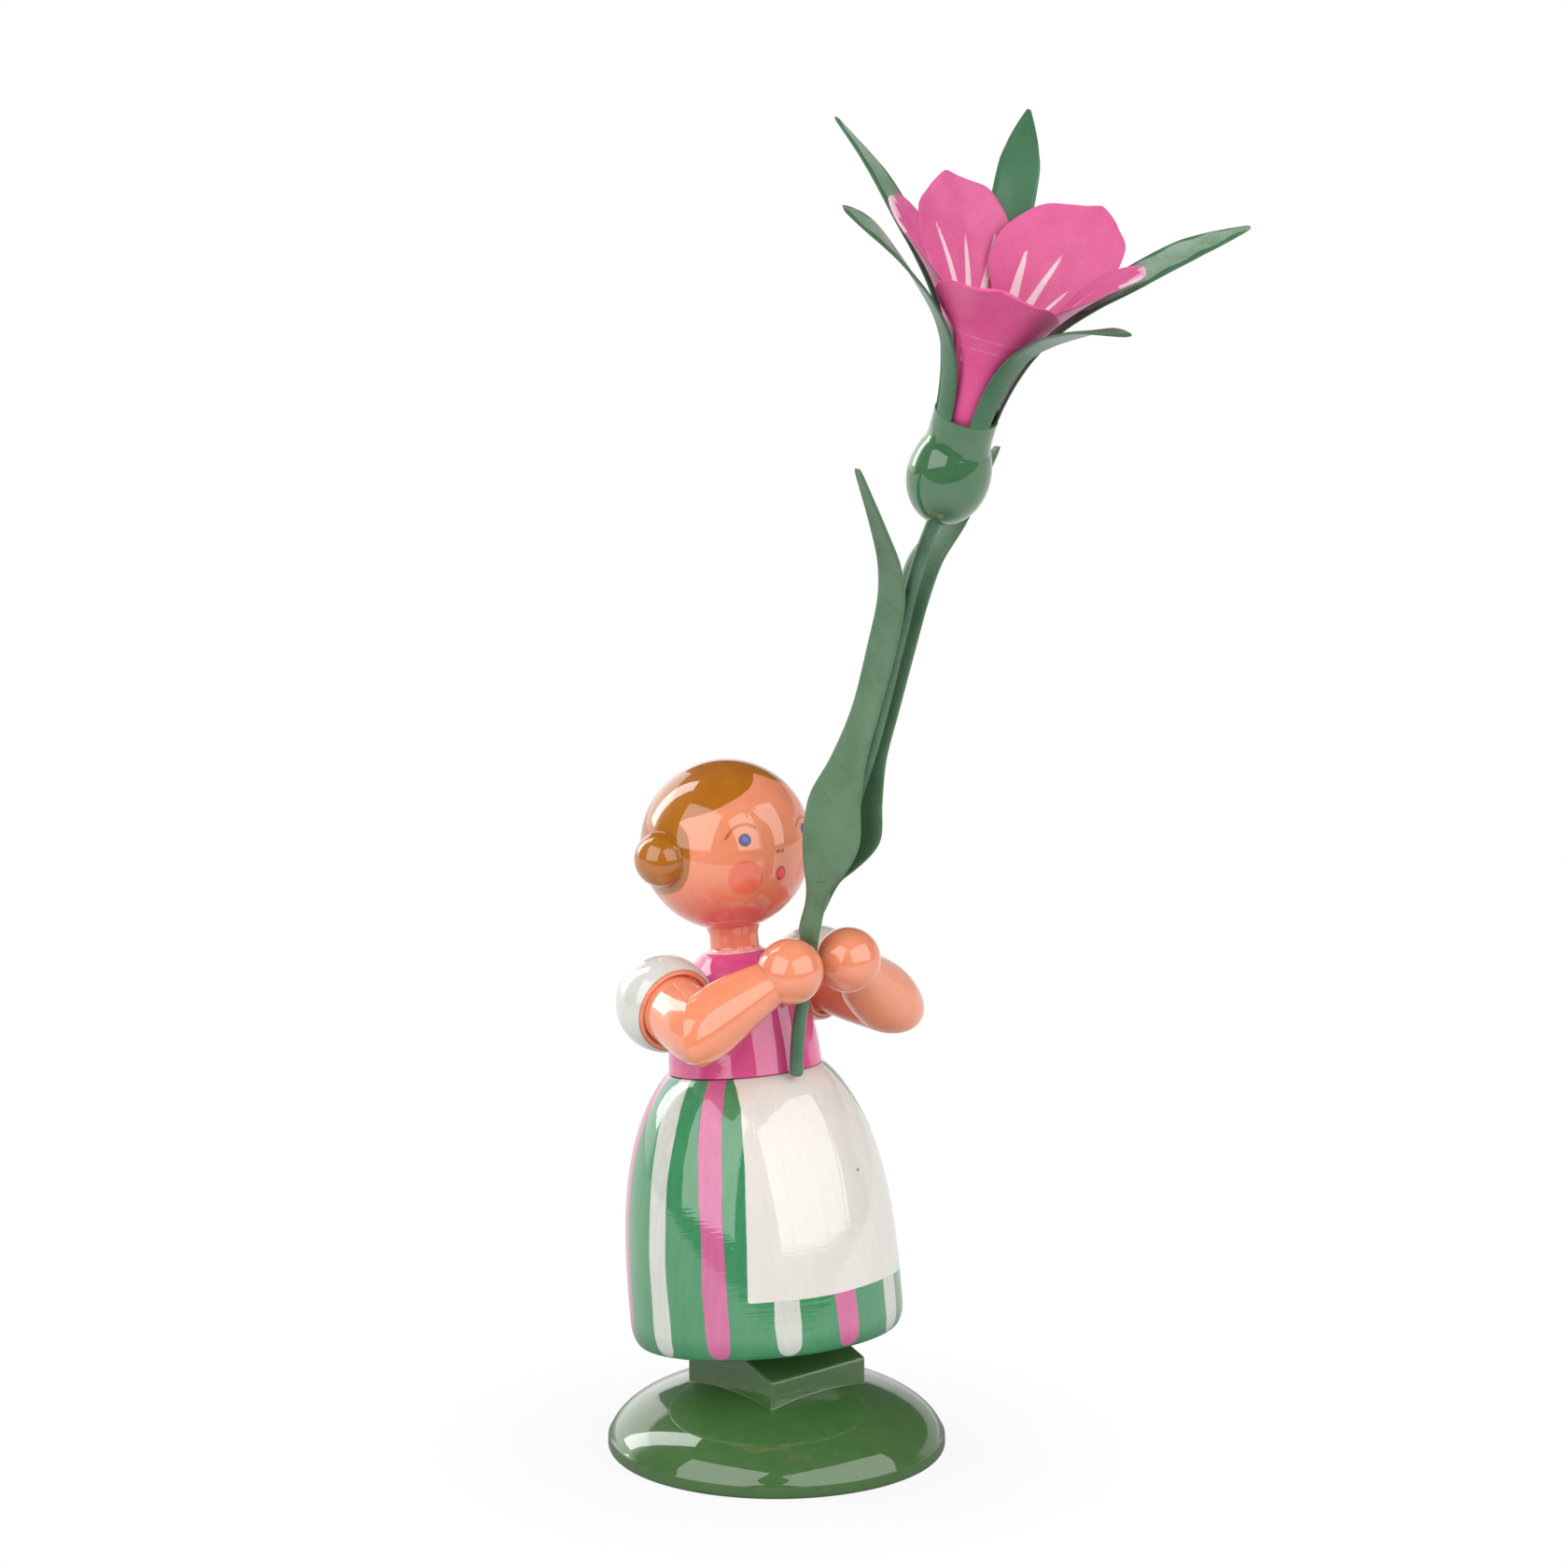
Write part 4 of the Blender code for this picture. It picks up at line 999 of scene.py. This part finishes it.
def leaf_surface(side, height, middle, width, away):
    """The middle of a leaf: across runs along Y, and its foot wraps round the stem like a sheath.

    In the sheath a point stands at an angle round the stem of half the width times across over
    the sheath's radius, which swells a little just above the hands. Its lowest end sinks into
    the stem. The sheath opens into the flat blade over the first 7 mm.
    """
    level = GRIP.z + HAND_RADIUS + height + 0 * ACROSS
    beside = STEM_RADIUS + 0.3 + LEAF_THICKNESS / 2
    flat_x = side * (beside + away + 0.03 * width * ACROSS**2)
    flat_y = GRIP.y + middle - ACROSS * side * width / 2
    stem_y = np.interp(level, stem_line[:, 2], stem_line[:, 1])
    sheath = STEM_RADIUS + 0.12 + LEAF_THICKNESS / 2 + 0.2 * np.exp(-(((height - 0.4) / 1.8) ** 2))
    sheath = sheath - 0.5 * np.clip(1 - (height - height[0]) / 2.2, 0, 1) ** 2
    angle = ACROSS * np.clip(width / 2 / sheath, 0.1, 1.5)
    round_x = side * sheath * np.cos(angle)
    round_y = stem_y - side * sheath * np.sin(angle)
    open_share = np.clip(height / SHEATH_HEIGHT, 0, 1)
    open_share = open_share**2 * (3 - 2 * open_share)
    x = round_x + (flat_x - round_x) * open_share
    y = round_y + (flat_y - round_y) * open_share
    return np.stack([x, y, level], axis=-1)


def crease_distance(side, height, width):
    """Distance on the flat leaf to short folded lines, given by height and share of the half width."""
    point = np.stack([height + 0 * ACROSS, width / 2 * ACROSS * -side], axis=-1)
    nearest = np.full(point.shape[:2], 9.0)
    for line in CREASES:
        start, stop = (np.array([h, s * np.interp(h, height[:, 0], width[:, 0]) / 2]) for h, s in line)
        share = np.clip((point - start) @ (stop - start) / ((stop - start) @ (stop - start)), 0, 1)
        away = np.linalg.norm(point - start - share[..., None] * (stop - start), axis=-1)
        nearest = np.minimum(nearest, away + 0.05 * share)
    return nearest - 0.09


for side, word in SIDES:
    height, middle, width, away = smooth_line(LEAF_STATIONS[word], 300).T[:, :, None]
    rings = blade_rings(leaf_surface(side, height, middle, width, away), LEAF_THICKNESS, (side, 0, 0))
    creases = crease_distance(side, height, width)
    dress(f"leaf_{word}", rings, leaf_paint, {"creases": both_sides(creases, creases)})

# %% [markdown]
# ## Flower
# A glossy turned bulb with a collar carries the flower. The petals stand in the collar and the
# sepals on its rim, one between each two petals.

# %% Bulb
bulb_profile = join(
    ((CORE, -2.4), (2.3, -2.4), (2.37, 1.0), (2.4, 1.12), (2.7, 1.14), (2.74, 1.1)),
    smooth_line([(2.74, 1.0), (2.72, 0.1), (2.72, -0.8), (2.76, -1.3)], 30),
    arc((0, BULB_MIDDLE), (BULB_RADIUS, 5.0), 36.5, 0, 60),
    arc((0, BULB_MIDDLE), (BULB_RADIUS, BULB_DROP), -2, -89, 90),
)
bulb_rings = turned(evenly(bulb_profile, 0.14), 160)
bulb_paint = lacquered("bulb lacquer", BULB_GREEN, strokes=(420, 420, 420), wave=0.01)
dress("calyx_bulb", placed(bulb_rings, FLOWER), bulb_paint)

# %% [markdown]
# A blade's middle line climbs out of the collar and bends outwards. Across it, the blade follows
# an arc whose radius is the distance from the flower's axis times its flatness. Each blade was
# set by hand, so each has its own turn, a small twist that lets neighbours pass, its own lift
# and a roll towards one side.

# %% Surface of a petal or sepal
BLADE_THICKNESS = 0.3


def blade_surface(foot, line, widths, setting, flatness, waves=0.0):
    """Middle surface: radius - bend + bend cos(aside / bend) outwards, bend sin(aside / bend) aside.

    The setting is (turn, twist, lift, roll). The surface comes with how far along and how far
    aside each of its points lies on the flattened blade.
    """
    turn, twist, lift, roll = setting
    middle = smooth_line([foot, *[(foot[0] + out, height) for out, height in line]], 150)
    share, half_width = smooth_line(widths, 400).T
    half_width = np.maximum(np.interp(np.linspace(0, 1, len(middle)), share, half_width), 0.05)
    aside = half_width[:, None] * ACROSS
    radius, height = middle[:, :1], middle[:, 1:]
    bend = radius * flatness
    far = (radius - foot[0]) / (middle[-1, 0] - foot[0])
    out = radius - bend + bend * np.cos(aside / bend) - math.tan(math.radians(twist)) * aside
    height = height + lift * far + waves * far * np.sin(aside * 1.3 + turn)
    height = height + math.tan(math.radians(roll)) * aside * far
    surface = np.stack([out, bend * np.sin(aside / bend), height], axis=-1)
    spun = placed(surface, Matrix.Rotation(math.radians(turn), 4, "Z"))
    return spun, np.broadcast_to(length_along(middle)[:, None], aside.shape), aside


def blade(surface):
    """A blade of the flower, at its place."""
    return placed(blade_rings(surface, BLADE_THICKNESS, (0, 0, 1)), FLOWER)


# %% [markdown]
# Each petal has white strokes that start in the throat and run out to a point. A stroke is a
# straight line on the flattened petal, with a width that shrinks towards its end.

# %% Strokes on the petals
PETAL_LINE = ((0.1, 1.5), (0.55, 4.5), (1.35, 7.4), (2.55, 10.0), (4.05, 12.4), (6.45, 15.4), (9.45, 18.4))
PETAL_WIDTHS = ((0, 1.0), (0.3, 1.25), (0.45, 1.9), (0.58, 3.3), (0.7, 4.9), (0.8, 5.45), (0.9, 4.6),
                (0.96, 2.4), (0.985, 1.0), (1, 0.12))
PETALS = ((9.5, 10, 0.0, 0), (82, 10, -0.4, 0), (147, 4, 0.4, -7), (221, -1, -1.1, 0), (294, 0, 0.6, 4))
THIN_STROKES = ((17.6, 2.6, 0.34), (18.2, 0.1, 0.36), (17.2, -2.7, 0.34))
STROKES = (
    ((16.9, 2.7, 0.62), (18.0, -0.1, 0.5), (15.6, -2.65, 0.36)),
    ((19.3, 2.8, 0.46), (17.6, -0.5, 0.5), (17.5, -3.8, 0.52)),
    THIN_STROKES,
    THIN_STROKES,
    THIN_STROKES,
)
THROAT = 7.0


def stroke_distance(along, aside, tip, tip_aside, half_width):
    """Distance to a stroke from the throat to its tip, tapering like a root of what is left."""
    share = np.clip((along - THROAT) / (tip - THROAT), 0, 1)
    middle = tip_aside * share**1.15
    width = half_width * np.sqrt(1 - share) * np.interp(share, (0, 0.5), (0.75, 1.0))
    past = np.clip(along - tip, 0, None) + np.clip(THROAT - along, 0, None)
    return np.hypot(aside - middle, past) - width


# %% [markdown]
# Petals 3 and 5 have lost paint at their ends. Petal 4 is the brightest: it gets a lighter copy of the
# petal paint, painted light on its shaded outside, and two thin pale lines run across that outside.

# %% Petals
petal_layers = [("strokes", *STROKE_WHITE), ("worn", *WORN)]
petal_paint = sheet("petal paint", *PETAL_PINK, petal_layers)
lit_petal_paint = sheet("lit petal paint", *LIT_PETAL_PINK, petal_layers)
for number, (setting, strokes) in enumerate(zip(PETALS, STROKES), 1):
    surface, along, aside = blade_surface((1.85, -1.8), PETAL_LINE, PETAL_WIDTHS, setting, 1.5, 0.12)
    bare = np.ones(aside.shape)
    painted = np.min([stroke_distance(along, aside, *stroke) for stroke in strokes], axis=0)
    wear_and_sheen = along.max() - 1.1 + 0.4 * np.sin(3.1 * aside + number) - along
    lines = np.abs([along - 12.6 - 0.03 * aside**2, along - 11.1 + 0.05 * aside**2]).min(axis=0) - 0.035
    worn = {3: both_sides(wear_and_sheen, wear_and_sheen), 4: both_sides(bare, lines), 5: both_sides(wear_and_sheen, wear_and_sheen)}
    marks = {"strokes": both_sides(painted, bare), "worn": worn.get(number, both_sides(bare, bare))}
    # Petal 4 takes the lighter copy of the paint, which is painted light on its shaded outside.
    finish = lit_petal_paint if number == 4 else petal_paint
    dress(f"petal_{number}", blade(surface), finish, marks)

# %% Sepals
SEPAL_LINE = ((0.17, 2.5), (0.65, 4.8), (1.55, 7.3), (3.15, 9.9), (5.45, 12.4), (8.35, 15.0), (12.05, 17.9),
              (16.85, 20.6))
SEPAL_WIDTHS = ((0, 0.98), (0.2, 1.05), (0.4, 1.05), (0.55, 1.35), (0.7, 1.9), (0.8, 1.85), (0.88, 1.45),
                (0.94, 0.9), (0.98, 0.42), (1, 0.16))
SEPALS = ((48, 0, 0.5, 0), (105, 0, -0.8, 26), (176, 0, 0.9, -28), (255, 0, -1.7, 10), (332, 0, 0.8, 5))
# Sepals 2, 3 and 5 carry a painted sheen: a paler green along the middle of the upper side, out towards the
# tip, for the light their faces reflect.
SHEEN_SEPALS = (2, 3, 5)
sepal_finish = {"grain": 0.006, "creases": 0.004, "varnish": 0.4, "blur": 0.16}
sepal_paint = sheet("sepal paint", *SEPAL_GREEN, [("pale", *SEPAL_SHEEN)], **sepal_finish)
for number, setting in enumerate(SEPALS, 1):
    surface, along, aside = blade_surface((2.58, 1.13), SEPAL_LINE, SEPAL_WIDTHS, setting, 1.0)
    wear_and_sheen = np.abs(aside) - 0.72 * aside.max(axis=1, keepdims=True) + np.clip(12.5 - along, 0, 9)
    wear_and_sheen = wear_and_sheen + 0.12 * np.sin(2.1 * along + number)
    bare = np.ones(aside.shape)
    pale = both_sides(wear_and_sheen if number in SHEEN_SEPALS else bare, bare)
    dress(f"sepal_{number}", blade(surface), sepal_paint, {"pale": pale})

# %% [markdown]
# ## Floor, surroundings and lamps
# The floor is white. For the camera it shines a little by itself, so that it stays white up to
# the picture's edge, and it still keeps a soft shadow round the base. Lacquer mirrors what stands
# round it, so the surroundings matter as much as the lamps: bright at the sides and behind, and
# darker in front, where the camera stands.

# %% Floor
CAMERA_SIDE = Vector((-0.6722, -0.7404, 0.0))
CAMERA_RIGHT = Vector((0.7404, -0.6722, 0.0))
TABLE_END = 0.18


def floor_finish():
    """White, part of it shining for camera and mirror rays, fully so far from the object.

    The table ends in front: past its edge, mirror rays meet the dark of the room. Close to the
    base they meet the figurine's own shade.
    """
    material, tree, shader, where = new_material("white table")
    plug(tree, shader, Base_Color=(0.62, 0.62, 0.62, 1), Roughness=0.7)
    path = node(tree, "LightPath")
    away = vectors(tree, "LENGTH", where, result="Value")
    ahead = vectors(tree, "DOT_PRODUCT", where, tuple(CAMERA_SIDE), result="Value")
    mirrored = times(tree, path.outputs["Is Glossy Ray"], ranged(tree, away, 0.03, 0.09, 0.1, 0.8))
    seen = sums(tree, "MAXIMUM", path.outputs["Is Camera Ray"], mirrored)
    share = times(tree, ranged(tree, away, 0.012, 0.036, 0.9, 1.0), seen)
    shine = node(tree, "Emission", Color=(1, 1, 1, 1), Strength=1.0).outputs[0]
    table = node(tree, "MixShader", i0=share, i1=shader.outputs[0], i2=shine).outputs[0]
    edge = ranged(tree, ahead, TABLE_END, TABLE_END + 0.005)
    dim = sums(tree, "MAXIMUM", edge, ranged(tree, away, 0.018, 0.05, 0.6, 0.0))
    room = node(tree, "Emission", Color=(1, 1, 1, 1), Strength=0.1).outputs[0]
    past = times(tree, dim, path.outputs["Is Glossy Ray"])
    ended = node(tree, "MixShader", i0=past, i1=table, i2=room).outputs[0]
    plug(tree, tree.nodes["Material Output"], Surface=ended)
    return material


def around(forward, rightward, height=0.0):
    """A point by how far it is towards the camera, to its right, and up, in metres."""
    return CAMERA_SIDE * forward + CAMERA_RIGHT * rightward + Vector((0, 0, height))


floor_mesh = bpy.data.meshes.new("floor")
corners = [around(0.75, -1.6), around(0.75, 1.6), around(-3.0, 1.6), around(-3.0, -1.6)]
floor_mesh.from_pydata([tuple(corner - Vector((0, 0, 0.00002))) for corner in corners], [], [(0, 1, 2, 3)])
floor_mesh.materials.append(floor_finish())
floor = bpy.data.objects.new("floor", floor_mesh)
bpy.context.scene.collection.objects.link(floor)

# %% Surroundings
world = bpy.data.worlds.new("studio")
world.use_nodes = True
bpy.context.scene.world = world
tree = world.node_tree
sky = tree.nodes["Background"]
towards = node(tree, "TexCoord").outputs["Generated"]
front = vectors(tree, "DOT_PRODUCT", towards, tuple(CAMERA_SIDE), result="Value")
side = vectors(tree, "DOT_PRODUCT", towards, tuple(CAMERA_RIGHT), result="Value")
rise = node(tree, "SeparateXYZ", Vector=towards).outputs["Z"]
ceiling = sums(tree, "SUBTRACT", rise, ranged(tree, side, -0.36, -0.24, 0.3, 0.0))
band = times(tree, ranged(tree, front, -0.5, -0.3, 1.0, 0.0), ranged(tree, ceiling, 0.22, 0.27, 1.0, 0.0))
band = times(tree, band, ranged(tree, side, -0.2, 0.35, 1.45, 0.55))
mirrored = times(tree, plus(tree, band, 0.07), ranged(tree, rise, -0.06, 0.0, 0.3, 1.0))
soft = ranged(tree, rise, -0.2, 1.0, 0.14, 0.4)
path = node(tree, "LightPath")
seen = node(tree, "Mix", i0=path.outputs["Is Diffuse Ray"], i2=mirrored, i3=soft).outputs[0]
seen = node(tree, "Mix", i0=path.outputs["Is Camera Ray"], i2=seen, i3=1.0).outputs[0]
plug(tree, sky, Color=(1, 1, 1, 1), Strength=seen)
print("surroundings:", len(tree.nodes), "nodes")

# %% [markdown]
# Three soft panels light it: a narrow bright one behind it on the left, which draws the sharp
# streaks, and two wide ones in front, which draw the two soft patches on the base. A panel's
# power is pi times its area times its brightness.

# %% Lamps
AIM_HEIGHT = 0.06


def panel(name, turn, rise, distance, wide, tall, brightness):
    """A rectangular lamp that faces the figurine, placed by its angles from the camera's side."""
    turn, rise = math.radians(turn), math.radians(rise)
    level = math.cos(rise) * distance
    place = around(math.cos(turn) * level, math.sin(turn) * level, AIM_HEIGHT + math.sin(rise) * distance)
    lamp = bpy.data.lights.new(name, "AREA")
    lamp.shape = "RECTANGLE"
    lamp.size = wide
    lamp.size_y = tall
    lamp.energy = math.pi * wide * tall * brightness
    holder = bpy.data.objects.new(name, lamp)
    aim = (place - Vector((0, 0, AIM_HEIGHT))).to_track_quat("Z", "Y")
    holder.matrix_world = Matrix.Translation(place) @ aim.to_matrix().to_4x4()
    bpy.context.scene.collection.objects.link(holder)
    print(f"{name}: {lamp.energy:.2f} W")


panel("strip", -126, 31, 0.6, 0.17, 0.56, 4.2)
panel("left panel", -45, 29, 1.4, 1.4, 1.45, 2.05)
panel("right panel", 52, 28, 1.5, 2.2, 1.45, 1.82)

# %% [markdown]
# ## Camera
# The photograph was taken from in front and a little above, from her right, with a long lens.
# These values come from solving the picture's ellipses and edges for the place that fits them.

# %% Camera
CAMERA_DISTANCE, CAMERA_HEIGHT = 0.420234, 0.141124
camera_data = bpy.data.cameras.new("photo view")
camera_data.lens = 111.0
camera_data.sensor_width = 36.0
camera_data.clip_start = 0.01
camera = bpy.data.objects.new("photo view", camera_data)
turn, pitch, yaw = math.radians(-42.237), math.radians(-10.785), math.radians(0.091)
level = Vector((-math.sin(turn), math.cos(turn), 0))
right = Vector((math.cos(turn), math.sin(turn), 0))
ahead = level * math.cos(yaw) + right * math.sin(yaw)
right = right * math.cos(yaw) - level * math.sin(yaw)
look = ahead * math.cos(pitch) + Vector((0, 0, math.sin(pitch)))
up = right.cross(look)
turned_to = Matrix((right, up, -look)).transposed().to_4x4()
place = Vector((math.sin(turn) * CAMERA_DISTANCE, -math.cos(turn) * CAMERA_DISTANCE, CAMERA_HEIGHT))
camera.matrix_world = Matrix.Translation(place) @ turned_to
bpy.context.scene.collection.objects.link(camera)
bpy.context.scene.camera = camera
bpy.context.scene.view_settings.view_transform = "Standard"
print("camera at", [round(value, 4) for value in place])
